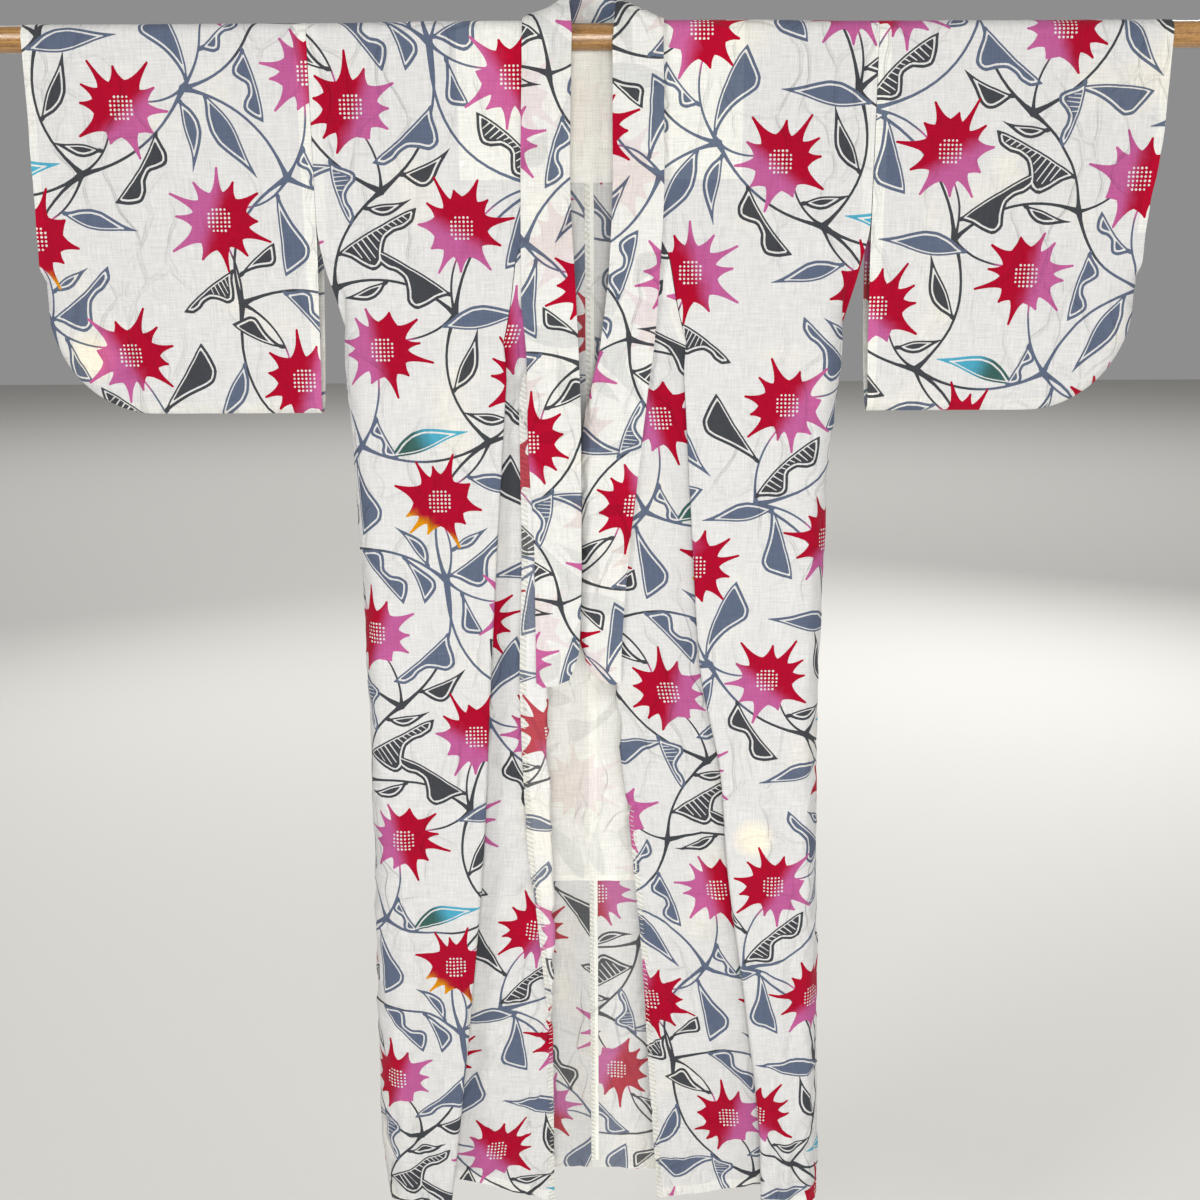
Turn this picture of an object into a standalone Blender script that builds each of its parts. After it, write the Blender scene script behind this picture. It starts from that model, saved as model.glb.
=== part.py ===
"""A cotton yukata hung over a round wooden rod.

The rod's axis is the X axis and its middle is the origin. The robe's front faces -Y, and +Z is up.
Left and right are the wearer's: the wearer's right side lies at -X. A point of the cloth is found from
its distance outward from the middle line and its drop, which is measured down from the rod's axis.
All sizes are in metres.
"""

import math

import bmesh
import bpy
import numpy as np

ROD_RADIUS = 0.014
ROD_LENGTH = 1.50
CLOTH = 0.0012
COLLAR_THICKNESS = 0.0024
SEAM_GAP = 0.0003
ROD_CLEARANCE = 0.0005

HEM = 1.475
BACK_HEM = 1.470
SLEEVE_SEAM = 0.3152
SLEEVE_DROP = 0.412
SLEEVE_CORNER = 0.115
SLIT = (0.215, 0.370)
CUFF_OPENING = (0.20, 0.26)
SLEEVE_SEAM_ROUNDING = 0.025
NECK_EDGE = 0.069
OKUMI_TIP = (0.195, 0.240)
FOLD_STARTS = (0.25, 0.38)
TUCK_SHARE = 0.45
EDGE_ROLL = 0.0028
LINING_OUTER = {"right": 0.1506, "left": 0.167}
LINING_DROP = 0.152
SEAT_LINING_ROWS = (0.574, 1.029)
SEAT_LINING_COLUMN = 9

LINING_RADIUS = ROD_RADIUS + ROD_CLEARANCE + CLOTH / 2
BODY_RADIUS = LINING_RADIUS + CLOTH + SEAM_GAP
COLLAR_RADIUS = BODY_RADIUS + CLOTH / 2 + SEAM_GAP + COLLAR_THICKNESS / 2
SHOULDER_THINS = (0.175, 0.280)

SIGN = {"right": -1.0, "left": 1.0}


def table(columns, *rows):
    """Rows of named columns, the first of them the one that the others are read against."""
    return {name: np.array(values) for name, values in zip(columns, zip(*rows))}


# How far the layers hang in front of the rod's axis (-) and behind it (+).
HANG = table(
    ("drop", "front", "okumi", "back"),
    (0.000, -0.0166, -0.0166, 0.0166),
    (0.200, -0.0170, -0.0170, 0.0168),
    (0.240, -0.0175, -0.0174, 0.0170),
    (0.300, -0.0220, -0.0182, 0.0176),
    (0.400, -0.0290, -0.0200, 0.0190),
    (0.600, -0.0370, -0.0225, 0.0215),
    (0.850, -0.0420, -0.0235, 0.0245),
    (1.150, -0.0450, -0.0225, 0.0280),
    (1.480, -0.0455, -0.0195, 0.0300),
)

# Each half of the body: side is its outline, fold the soft fold beside the okumi, tuck how far the cloth
# turns back behind that fold, and wrap how far round behind the outline the side seam lies.
BODY = {
    "right": table(
        ("drop", "side", "fold", "tuck", "wrap"),
        (0.000, 0.3152, 0.0690, 0.0000, 0.0000),
        (0.195, 0.3150, 0.0690, 0.0000, 0.0000),
        (0.240, 0.3095, 0.0900, 0.0020, 0.0005),
        (0.290, 0.2990, 0.0955, 0.0060, 0.0040),
        (0.370, 0.2925, 0.1020, 0.0120, 0.0120),
        (0.500, 0.2870, 0.1120, 0.0180, 0.0180),
        (0.750, 0.2838, 0.1295, 0.0220, 0.0260),
        (0.950, 0.2865, 0.1420, 0.0240, 0.0300),
        (1.200, 0.2920, 0.1670, 0.0270, 0.0340),
        (1.380, 0.2958, 0.1880, 0.0290, 0.0360),
        (1.480, 0.2880, 0.2010, 0.0290, 0.0360),
    ),
    "left": table(
        ("drop", "side", "fold", "tuck", "wrap"),
        (0.000, 0.3152, 0.0690, 0.0000, 0.0000),
        (0.195, 0.3145, 0.0690, 0.0000, 0.0000),
        (0.240, 0.3070, 0.0870, 0.0020, 0.0005),
        (0.290, 0.2975, 0.0945, 0.0060, 0.0040),
        (0.370, 0.2885, 0.1035, 0.0120, 0.0120),
        (0.500, 0.2782, 0.1115, 0.0170, 0.0180),
        (0.720, 0.2763, 0.1265, 0.0200, 0.0250),
        (0.860, 0.2785, 0.1540, 0.0190, 0.0280),
        (0.970, 0.2825, 0.1630, 0.0190, 0.0300),
        (1.200, 0.2905, 0.1945, 0.0190, 0.0320),
        (1.380, 0.2975, 0.2150, 0.0190, 0.0340),
        (1.480, 0.3006, 0.2195, 0.0190, 0.0350),
    ),
}

# The okumi, or front overlap panel: edge is its front edge, or the edge that the collar hides, and turn
# is how much of that edge is folded over, to the front on the right panel and to the back on the left.
OKUMI = {
    "right": table(
        ("drop", "edge", "turn"),
        (0.200, 0.0690, 0.0000),
        (0.300, 0.0700, 0.0000),
        (0.340, 0.0665, 0.0090),
        (0.400, 0.0650, 0.0230),
        (0.585, 0.0625, 0.0262),
        (0.760, 0.0615, 0.0325),
        (0.960, 0.0585, 0.0300),
        (1.030, 0.0575, 0.0227),
        (1.170, 0.0580, 0.0100),
        (1.250, 0.0600, 0.0000),
        (1.480, 0.0610, 0.0000),
    ),
    "left": table(
        ("drop", "edge", "turn"),
        (0.200, 0.0690, 0.0000),
        (0.300, 0.0620, 0.0000),
        (0.420, 0.0480, 0.0000),
        (0.520, 0.0360, 0.0000),
        (0.600, 0.0270, 0.0000),
        (0.700, 0.0225, 0.0100),
        (0.760, 0.0280, 0.0280),
        (0.840, 0.0320, 0.0250),
        (0.940, 0.0420, 0.0000),
        (1.110, 0.0569, 0.0000),
        (1.300, 0.0682, 0.0000),
        (1.480, 0.0800, 0.0000),
    ),
}
TURN_DIRECTION = {"right": -1.0, "left": 1.0}
OKUMI_HEM = {"right": (1.440, 1.482), "left": (1.457, 1.478)}

# The collar band down each front: outer is its sewn edge and inner its folded, free edge. back is how much
# deeper the free edge hangs, and rise how much shorter the band is at its free edge.
COLLAR = {
    "right": table(
        ("drop", "outer", "inner", "back", "rise"),
        (0.000, 0.0775, 0.0240, 0.0000, 0.000),
        (0.150, 0.0820, 0.0271, 0.0000, 0.000),
        (0.284, 0.0835, 0.0217, 0.0000, 0.000),
        (0.350, 0.0785, 0.0190, 0.0020, 0.000),
        (0.430, 0.0785, 0.0173, 0.0030, 0.000),
        (0.585, 0.0730, 0.0178, 0.0040, 0.000),
        (0.700, 0.0733, 0.0215, 0.0040, 0.004),
        (0.745, 0.0735, 0.0330, 0.0040, 0.009),
    ),
    "left": table(
        ("drop", "outer", "inner", "back", "rise"),
        (0.000, 0.0775, 0.0225, 0.0000, 0.000),
        (0.150, 0.0795, 0.0223, 0.0000, 0.000),
        (0.250, 0.0754, 0.0180, 0.0020, 0.000),
        (0.312, 0.0713, 0.0108, 0.0040, 0.000),
        (0.400, 0.0605, -0.0010, 0.0060, 0.000),
        (0.500, 0.0492, -0.0065, 0.0080, 0.000),
        (0.600, 0.0380, -0.0085, 0.0090, 0.000),
        (0.700, 0.0313, -0.0120, 0.0080, 0.006),
        (0.744, 0.0300, -0.0112, 0.0070, 0.018),
    ),
}

# The collar round the neck, by the angle round the rod from its front to its back: how far out the sewn
# edge lies on the rod, and where the free edge stands.
NECK = table(
    ("angle", "seam", "free_x", "free_y", "free_z"),
    (0.0, 0.0775, 0.0235, -0.0190, 0.0000),
    (45.0, 0.0775, 0.0250, -0.0160, 0.0200),
    (90.0, 0.0770, 0.0270, -0.0050, 0.0370),
    (135.0, 0.0640, 0.0270, 0.0150, 0.0490),
    (157.5, 0.0420, 0.0180, 0.0290, 0.0535),
    (180.0, 0.0000, 0.0000, 0.0360, 0.0545),
)
NECK_CUT = table(("angle", "edge"), (0.0, 0.069), (90.0, 0.068), (112.5, 0.063), (135.0, 0.048), (157.5, 0.0))

# The sleeves: edge is the outline at the cuff, and half the distance from the middle to either layer.
SLEEVE = {
    "right": table(
        ("drop", "inner", "outer", "half"),
        (0.000, 0.3155, 0.6290, 0.0151),
        (0.100, 0.3155, 0.6305, 0.0158),
        (0.215, 0.3155, 0.6335, 0.0165),
        (0.300, 0.3180, 0.6350, 0.0145),
        (0.360, 0.3200, 0.6345, 0.0120),
        (0.412, 0.3225, 0.6345, 0.0100),
    ),
    "left": table(
        ("drop", "inner", "outer", "half"),
        (0.000, 0.3155, 0.6390, 0.0151),
        (0.100, 0.3155, 0.6385, 0.0158),
        (0.215, 0.3155, 0.6275, 0.0165),
        (0.300, 0.3170, 0.6270, 0.0145),
        (0.360, 0.3190, 0.6255, 0.0120),
        (0.412, 0.3220, 0.6250, 0.0100),
    ),
}

FRONT_ROWS = (
    HEM, 1.440, 1.360, 1.240, 1.120, 1.000, 0.880, 0.760, 0.640, 0.520,
    0.420, 0.360, 0.310, 0.270, 0.240, 0.215, 0.195, LINING_DROP, 0.080,
)
OVER_ROD = tuple(np.arange(0.0, 180.1, 22.5))
BACK_ROWS = (
    0.080, LINING_DROP, 0.215, 0.290, 0.370, 0.460, SEAT_LINING_ROWS[0], 0.720,
    0.870, SEAT_LINING_ROWS[1], 1.180, 1.330, BACK_HEM,
)
SLEEVE_ROWS = (0.0, 0.2, 0.4, 0.53, 0.66, 0.79, 0.90, 0.965, 0.99, 1.0)

# How far across the flat cloth each of the body front's fifteen lines lies, from the okumi to the side seam.
ACROSS_FRONT = np.array((0, 0.05, 0.09, 0.10, 0.115, 0.13, 0.14, 0.30, 0.46, 0.62, 0.78, 0.84, 0.89, 0.94, 1.0))
ACROSS_OKUMI = np.array((0, 0.08, 0.16, 0.24, 0.32, 0.43, 0.54, 0.65, 0.76, 0.81, 0.86, 0.90, 0.95, 1.0))
HALF_TURN = math.sqrt(0.5)


def read(rows, name, at):
    """The named column's value, on a smooth curve through the table's rows that never passes beyond them."""
    key = next(iter(rows))
    stops, values = rows[key], rows[name]
    secant = np.diff(values) / np.diff(stops)
    before, after = secant[:-1], secant[1:]
    both = np.where(before * after > 0, before + after, 1.0)
    inner = np.where(before * after > 0, 2 * before * after / both, 0.0)
    slopes = np.concatenate([secant[:1], inner, secant[-1:]])
    i = np.clip(np.searchsorted(stops, at, side="right") - 1, 0, len(stops) - 2)
    span = stops[i + 1] - stops[i]
    t = np.clip((at - stops[i]) / span, 0.0, 1.0)
    start = (1 + 2 * t) * (1 - t) ** 2 * values[i] + t * (1 - t) ** 2 * span * slopes[i]
    end = t * t * (3 - 2 * t) * values[i + 1] - t * t * (1 - t) * span * slopes[i + 1]
    return start + end


def ease(value, low, high):
    """0 below low, 1 above high, and a smooth step between them."""
    t = np.clip((value - low) / (high - low), 0.0, 1.0)
    return t * t * (3 - 2 * t)


def mix(a, b, share):
    return a + (b - a) * share


def shoulder_radius(distance):
    """The body's distance from the rod's axis: over the lining at the neck, and on the rod at the sleeve."""
    return mix(BODY_RADIUS, LINING_RADIUS, ease(distance, *SHOULDER_THINS))


def hang(name, distance, drop):
    """How deep a layer hangs, with the thin end of the shoulder brought in to the rod."""
    depth = read(HANG, name, drop)
    near = (BODY_RADIUS - shoulder_radius(distance)) * (1 - ease(drop, 0.0, SLIT[0]))
    return depth - np.sign(depth) * near


def front_section(side, drop):
    """Distances and depths of the body front's lines at one drop, from the okumi's seam to the side seam."""
    outline, fold = read(BODY[side], "side", drop), read(BODY[side], "fold", drop)
    tuck, wrap = read(BODY[side], "tuck", drop), read(BODY[side], "wrap", drop)
    front, okumi, back = (read(HANG, name, drop) for name in ("front", "okumi", "back"))
    folded, closed = ease(drop, *FOLD_STARTS), ease(drop, *SLIT)
    tucked = mix(front, okumi, TUCK_SHARE)
    r = (tucked - front) / 2
    round_in = (1 - HALF_TURN) * r
    distance = fold + (outline - fold) * ACROSS_FRONT
    depth = np.full(len(distance), front)
    curl_x = fold + np.array((tuck, (tuck + r) / 2, r, round_in, 0, round_in, r))
    curl_y = front + np.array((2, 2, 2, 2 - 0.29, 1, 0.29, 0)) * r
    distance[:7] = mix(distance[:7], curl_x, folded)
    depth[:7] = mix(depth[:7], curl_y, folded)
    span = back - front
    side_x = outline - np.array((0.022, 0.006, 0.0, 0.006, wrap))
    side_y = front + np.array((0.05, 0.28, 0.55, 0.90, 1.0)) * span
    distance[10:] = mix(distance[10:], side_x, closed)
    depth[10:] = mix(depth[10:], side_y, closed)
    distance[6:11] = np.linspace(distance[6], distance[10], 5)
    swell = 0.004 * ease(drop, 0.45, 1.35)
    depth[7:10] += swell * np.array((-0.6, 1.0, -0.8)) * (1 if side == "right" else -0.8)
    thin = BODY_RADIUS - shoulder_radius(distance)
    return distance, depth + thin * (1 - ease(drop, 0.0, SLIT[0]))


def back_section(side, drop, first):
    """Distances and depths across one half of the back, from a distance near the middle to the side seam."""
    last = read(BODY[side], "side", drop) - read(BODY[side], "wrap", drop)
    last -= SEAM_GAP * ease(drop, SLIT[0], SLIT[1])
    distance = first + (last - first) * np.linspace(0.0, 1.0, len(ACROSS_FRONT))
    swell = 0.004 * ease(drop, 0.5, 1.4) * np.sin(2 * math.pi * distance / 0.135 + (0.4 if side == "right" else 1.3))
    return distance, hang("back", distance, drop) + swell * ease(distance, 0.0, 0.05) * ease(last - distance, 0, 0.04)


def okumi_section(side, drop):
    """Distances and depths of the okumi's lines at one drop, from the body's seam to its front edge."""
    body_x, body_y = front_section(side, drop)
    along = np.array((body_x[0] - body_x[1], body_y[0] - body_y[1]))
    along /= np.linalg.norm(along)
    edge, turn = read(OKUMI[side], "edge", drop), max(read(OKUMI[side], "turn", drop), 0.0)
    depth_in = read(HANG, "okumi", drop)
    folded, turned = ease(drop, *FOLD_STARTS), ease(turn, 0.001, 0.009)
    gap = mix(3 * SEAM_GAP, SEAM_GAP, folded)
    start_x, start_y = body_x[0] + gap * along[0], body_y[0] + gap * along[1]
    distance = start_x + (edge - start_x) * ACROSS_OKUMI
    depth = mix(start_y, depth_in, ease(ACROSS_OKUMI, 0.0, 0.5))
    r = (depth_in - body_y[0]) / 2
    loop_x = start_x + np.array((0, 0.001 + HALF_TURN * r, 0.001 + r, 0.001 + HALF_TURN * r, 0))
    loop_y = start_y + np.array((0, 0.29, 1, 1.71, 2)) * r
    distance[:5], depth[:5] = mix(distance[:5], loop_x, folded), mix(depth[:5], loop_y, folded)
    distance[0], depth[0] = start_x, start_y
    way = TURN_DIRECTION[side] * EDGE_ROLL
    round_in = (1 - HALF_TURN) * EDGE_ROLL
    roll_x = edge + np.array((EDGE_ROLL, round_in, 0, round_in, EDGE_ROLL, max(turn, 2 * EDGE_ROLL)))
    roll_y = depth_in + np.array((0, 0.29, 1, 1.71, 2, 2.1)) * way
    distance[8:], depth[8:] = mix(distance[8:], roll_x, turned), mix(depth[8:], roll_y, turned)
    distance[4:9] = np.linspace(distance[4], distance[8], 5)
    depth[4:9] = np.linspace(depth[4], depth[8], 5)
    return distance, depth


def points(side, distance, depth, drop):
    height = np.broadcast_to(-np.asarray(drop, float), np.shape(distance))
    return np.stack([SIGN[side] * distance, depth, height], axis=-1)


def over_rod(side, distance, radius, angle):
    """Points that lie on the rod, at an angle round it from its front."""
    turn = math.radians(angle)
    reach = np.broadcast_to(radius, np.shape(distance))
    return points(side, distance, -reach * math.cos(turn), -reach * math.sin(turn))


def body_rows(side):
    """The body's half from front hem to back hem, one row of points for each drop."""
    rows = []
    for drop in FRONT_ROWS:
        distance, depth = front_section(side, drop)
        rows.append(points(side, distance, depth, drop))
    for angle in OVER_ROD:
        first = read(NECK_CUT, "edge", angle)
        distance = first + (SLEEVE_SEAM - first) * np.linspace(0.0, 1.0, len(ACROSS_FRONT))
        if angle == 0:
            distance = NECK_EDGE + (SLEEVE_SEAM - NECK_EDGE) * ACROSS_FRONT
        middle = max(distance[0], SEAM_GAP / 2)
        distance = np.concatenate([[middle], distance[1:]])
        rows.append(over_rod(side, distance, shoulder_radius(distance), angle))
    for drop in BACK_ROWS:
        distance, depth = back_section(side, drop, SEAM_GAP / 2)
        rows.append(points(side, distance, depth, drop))
    return np.array(rows)


def okumi_rows(side):
    """The okumi from its tip, which slants along the body's edge, to its hem."""
    drops = [drop for drop in reversed(FRONT_ROWS) if OKUMI_TIP[1] < drop < OKUMI_HEM[side][0]]
    rows = []
    edge_rows = [drop for drop in reversed(FRONT_ROWS) if OKUMI_TIP[0] <= drop <= OKUMI_TIP[1]]
    edge = [read(BODY[side], "fold", drop) for drop in edge_rows]
    slant = mix(OKUMI_TIP[1], OKUMI_TIP[0], ACROSS_OKUMI)
    hem = mix(*OKUMI_HEM[side], ease(ACROSS_OKUMI, 0.2, 1.0))
    for drop in [slant, *drops, hem]:
        each = np.broadcast_to(drop, len(ACROSS_OKUMI))
        sections = [okumi_section(side, value) for value in each]
        distance = np.array([section[0][i] for i, section in enumerate(sections)])
        depth = np.array([section[1][i] for i, section in enumerate(sections)])
        if drop is slant:
            distance = np.interp(slant, edge_rows, edge) - 4 * SEAM_GAP
        rows.append(points(side, distance, depth, each))
    return np.array(rows)


def collar_rows():
    """The collar band from the right front's end, round the neck, to the left front's end."""
    halves = []
    across = np.linspace(0.0, 1.0, 4)
    for side in ("right", "left"):
        rows = []
        for drop in reversed([0.050, 0.100, 0.150, 0.215, 0.284, 0.350, 0.420, 0.500, 0.585, 0.650, 0.700, 0.745]):
            look = {name: read(COLLAR[side], name, drop) for name in ("outer", "inner", "back", "rise")}
            turned = ease(read(OKUMI[side], "turn", drop), 0.001, 0.009) if side == "right" else 0.0
            lift = COLLAR_RADIUS - BODY_RADIUS + 2 * SEAM_GAP + 2.1 * EDGE_ROLL * turned
            depth = read(HANG, "okumi", drop) - lift + look["back"] * across**2
            distance = mix(look["outer"], look["inner"], across)
            rows.append(points(side, distance, depth, drop - look["rise"] * across**2))
        for angle in OVER_ROD[:-1]:
            turn = math.radians(angle)
            seam = (read(NECK, "seam", angle), -COLLAR_RADIUS * math.cos(turn), COLLAR_RADIUS * math.sin(turn))
            free = [read(NECK, name, angle) for name in ("free_x", "free_y", "free_z")]
            line = mix(np.array(seam), np.array(free), across[:, None])
            rows.append(line * (SIGN[side], 1.0, 1.0))
        halves.append(rows)
    seam = np.array((0.0, COLLAR_RADIUS, 0.0))
    free = np.array([read(NECK, name, 180.0) for name in ("free_x", "free_y", "free_z")])
    return np.array(halves[0] + [mix(seam, free, across[:, None])] + halves[1][::-1])


def sleeve_half(side, distance, drop):
    """Half the distance between a sleeve's two layers, which close along the bottom and below the cuff."""
    outer = read(SLEEVE[side], "outer", drop)
    past_side = np.maximum(distance - (outer - SLEEVE_CORNER), 0.0) * ease(drop, *CUFF_OPENING)
    past_bottom = np.maximum(drop - (SLEEVE_DROP - SLEEVE_CORNER), 0.0)
    inside = np.maximum(SLEEVE_CORNER - np.hypot(past_side, past_bottom), 0.0)
    t = np.clip(inside / SLEEVE_SEAM_ROUNDING, 0.0, 1.0)
    return read(SLEEVE[side], "half", drop) * np.sqrt(1 - (1 - t) ** 2)


def sleeve_rows(side):
    """The sleeve from its bottom edge, up the front, over the rod and down the back to the same edge."""
    bends = np.sin(np.radians((25.0, 45.0, 60.0, 72.0, 90.0)))
    width = SLEEVE[side]["outer"][-1] - SLEEVE[side]["inner"][-1]
    straight = 1 - SLEEVE_CORNER / width
    across = np.concatenate([straight * np.array((0.0, 0.35, 0.7, 1.0)), straight + (1 - straight) * bends])
    cut = np.concatenate([np.zeros(4), bends])
    bottom = SLEEVE_DROP - SLEEVE_CORNER * (1 - np.sqrt(np.maximum(1 - cut**2, 0.0)))
    layers = []
    for share in SLEEVE_ROWS:
        drop = share * bottom
        distance = mix(read(SLEEVE[side], "inner", drop), read(SLEEVE[side], "outer", drop), across)
        half = sleeve_half(side, distance, drop)
        if share == 1.0:
            half = np.zeros(len(across))
        layers.append((distance, half, drop))
    rows = [points(side, distance, -half, drop) for distance, half, drop in reversed(layers)]
    for angle in OVER_ROD[1:-1]:
        rows.append(over_rod(side, layers[0][0], LINING_RADIUS, angle))
    rows += [points(side, distance, half, drop) for distance, half, drop in layers]
    return np.array(rows)


def shoulder_lining_rows(side):
    """One half of the yoke that lines the shoulders, just inside the body."""
    rows = []
    columns = np.linspace(0.0, 1.0, 6)
    outer = LINING_OUTER[side]
    for drop in (LINING_DROP, 0.080):
        distance = NECK_EDGE + (outer - NECK_EDGE) * columns
        rows.append(points(side, distance, hang("front", distance, drop) + CLOTH + SEAM_GAP, drop))
    for angle in OVER_ROD:
        first = read(NECK_CUT, "edge", angle)
        rows.append(over_rod(side, first + (outer - first) * columns, LINING_RADIUS, angle))
    for drop in (0.080, LINING_DROP):
        distance = outer * columns
        rows.append(points(side, distance, hang("back", distance, drop) - CLOTH - SEAM_GAP, drop))
    return np.array(rows)


def make_material(name, color, roughness):
    material = bpy.data.materials.new(name)
    material.use_nodes = True
    shader = material.node_tree.nodes["Principled BSDF"]
    shader.inputs["Base Color"].default_value = (*color, 1.0)
    shader.inputs["Roughness"].default_value = roughness
    shader.inputs["Metallic"].default_value = 0.0
    return material


def make_sheet(name, grids, thickness, material):
    """One piece of cloth from grids of points that share their touching points, given its thickness."""
    mesh = bmesh.new()
    for grid in grids:
        rows = [[mesh.verts.new(point) for point in row] for row in grid]
        for above, below in zip(rows, rows[1:]):
            for i in range(len(above) - 1):
                mesh.faces.new((above[i], above[i + 1], below[i + 1], below[i]))
    bmesh.ops.remove_doubles(mesh, verts=mesh.verts, dist=1e-6)
    bmesh.ops.recalc_face_normals(mesh, faces=mesh.faces)
    data = bpy.data.meshes.new(name)
    mesh.to_mesh(data)
    mesh.free()
    data.shade_smooth()
    data.materials.append(material)
    piece = bpy.data.objects.new(name, data)
    bpy.context.scene.collection.objects.link(piece)
    wall = piece.modifiers.new("Wall", "SOLIDIFY")
    wall.thickness = thickness
    wall.offset = 0.0
    wall.use_quality_normals = True
    return piece


def make_rod(material):
    bpy.ops.mesh.primitive_cylinder_add(
        vertices=48, radius=ROD_RADIUS, depth=ROD_LENGTH, rotation=(0.0, math.pi / 2, 0.0)
    )
    rod = bpy.context.active_object
    rod.name = rod.data.name = "rod"
    rod.data.shade_smooth()
    rod.data.set_sharp_from_angle(angle=math.radians(40))
    rod.data.materials.append(material)
    return rod


def main():
    for thing in list(bpy.data.objects):
        bpy.data.objects.remove(thing)
    cotton = make_material("Printed cotton", (0.86, 0.84, 0.80), 0.85)
    bleached = make_material("Plain cotton", (0.90, 0.88, 0.80), 0.85)
    wood = make_material("Varnished wood", (0.38, 0.19, 0.07), 0.35)
    make_rod(wood)
    bodies = {side: body_rows(side) for side in SIGN}
    for side in SIGN:
        make_sheet(f"body_{side}", [bodies[side]], CLOTH, cotton)
        make_sheet(f"sleeve_{side}", [sleeve_rows(side)], CLOTH, cotton)
        make_sheet(f"okumi_{side}", [okumi_rows(side)], CLOTH, cotton)
    make_sheet("collar", [collar_rows()], COLLAR_THICKNESS, cotton)
    make_sheet("shoulder_lining", [shoulder_lining_rows(side) for side in SIGN], CLOTH, bleached)
    first = len(FRONT_ROWS) + len(OVER_ROD) + BACK_ROWS.index(SEAT_LINING_ROWS[0])
    last = len(FRONT_ROWS) + len(OVER_ROD) + BACK_ROWS.index(SEAT_LINING_ROWS[1])
    seat = []
    for side in SIGN:
        grid = bodies[side][first : last + 1, : SEAT_LINING_COLUMN + 1].copy()
        grid[:, :, 1] -= CLOTH + SEAM_GAP
        grid[:, 0, 0] = 0.0
        seat.append(grid)
    make_sheet("seat_lining", seat, CLOTH, bleached)


main()
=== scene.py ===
import math
import bpy
import numpy as np
from mathutils import Matrix, Vector
from mathutils.geometry import delaunay_2d_cdt


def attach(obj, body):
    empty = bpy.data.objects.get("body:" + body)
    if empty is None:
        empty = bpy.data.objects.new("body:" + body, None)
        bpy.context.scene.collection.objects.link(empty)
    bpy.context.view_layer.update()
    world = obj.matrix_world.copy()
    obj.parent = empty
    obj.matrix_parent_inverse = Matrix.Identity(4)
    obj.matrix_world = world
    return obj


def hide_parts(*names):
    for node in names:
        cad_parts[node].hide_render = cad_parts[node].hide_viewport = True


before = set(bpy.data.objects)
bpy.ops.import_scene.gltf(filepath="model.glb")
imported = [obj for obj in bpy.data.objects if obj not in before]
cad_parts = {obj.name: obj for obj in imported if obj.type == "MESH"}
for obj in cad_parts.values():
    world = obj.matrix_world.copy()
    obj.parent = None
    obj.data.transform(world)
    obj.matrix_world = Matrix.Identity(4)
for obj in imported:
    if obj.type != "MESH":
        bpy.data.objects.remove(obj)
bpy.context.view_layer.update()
print("frame loaded")

# metres; x runs along the rod, the front faces -y; a drop is measured down from the rod's axis
sign = {"right": -1.0, "left": 1.0}  # the wearer's sides
cos45 = math.sqrt(0.5)


def table(columns, *rows):
    return {name: np.array(values) for name, values in zip(columns, zip(*rows))}


robe = {
    "rodRadius": 0.014,
    "shell": 0.00045,  # thickness of one layer of cotton as drawn
    "gap": 0.0001,  # between pieces at a seam
    "hem": 1.475,
    "backHem": 1.470,
    "sleeveSeam": 0.3153,
    "sleeveDrop": 0.412,
    "sleeveCorner": 0.115,
    "slit": (0.215, 0.370),  # the body's side is open above this and closed below
    "cuff": (0.20, 0.26),  # and so is the sleeve's outer edge
    "tipTop": 0.1955,  # where the okumi comes to its point below the collar
    "foldStarts": (0.25, 0.38),  # the front edges are tucked under from here down
    "edgeRoll": 0.0028,  # radius of a turned okumi edge
    "swell": 0.004,  # of the slow waves that cloth hangs in below the hips
    "liningRadius": 0.0151,
    "bodyRadius": 0.0166,
    "collarRadius": 0.0187,
    "rowStep": 0.005,
    "between": 6,  # fine columns for each line of a section
}
quarterTurn = robe["bodyRadius"] * math.pi / 2  # cloth from the front of the rod to its top

# at each drop, how far each layer hangs from the plane of the rod's axis
hangs = table(
    ("drop", "front", "okumi", "back"),
    (0.000, -0.0166, -0.0166, 0.0166),
    (0.200, -0.0170, -0.0170, 0.0168),
    (0.240, -0.0175, -0.0174, 0.0170),
    (0.300, -0.0220, -0.0182, 0.0176),
    (0.400, -0.0290, -0.0200, 0.0190),
    (0.600, -0.0370, -0.0225, 0.0215),
    (0.850, -0.0420, -0.0235, 0.0245),
    (1.150, -0.0450, -0.0225, 0.0280),
    (1.480, -0.0455, -0.0195, 0.0300),
)
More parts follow.
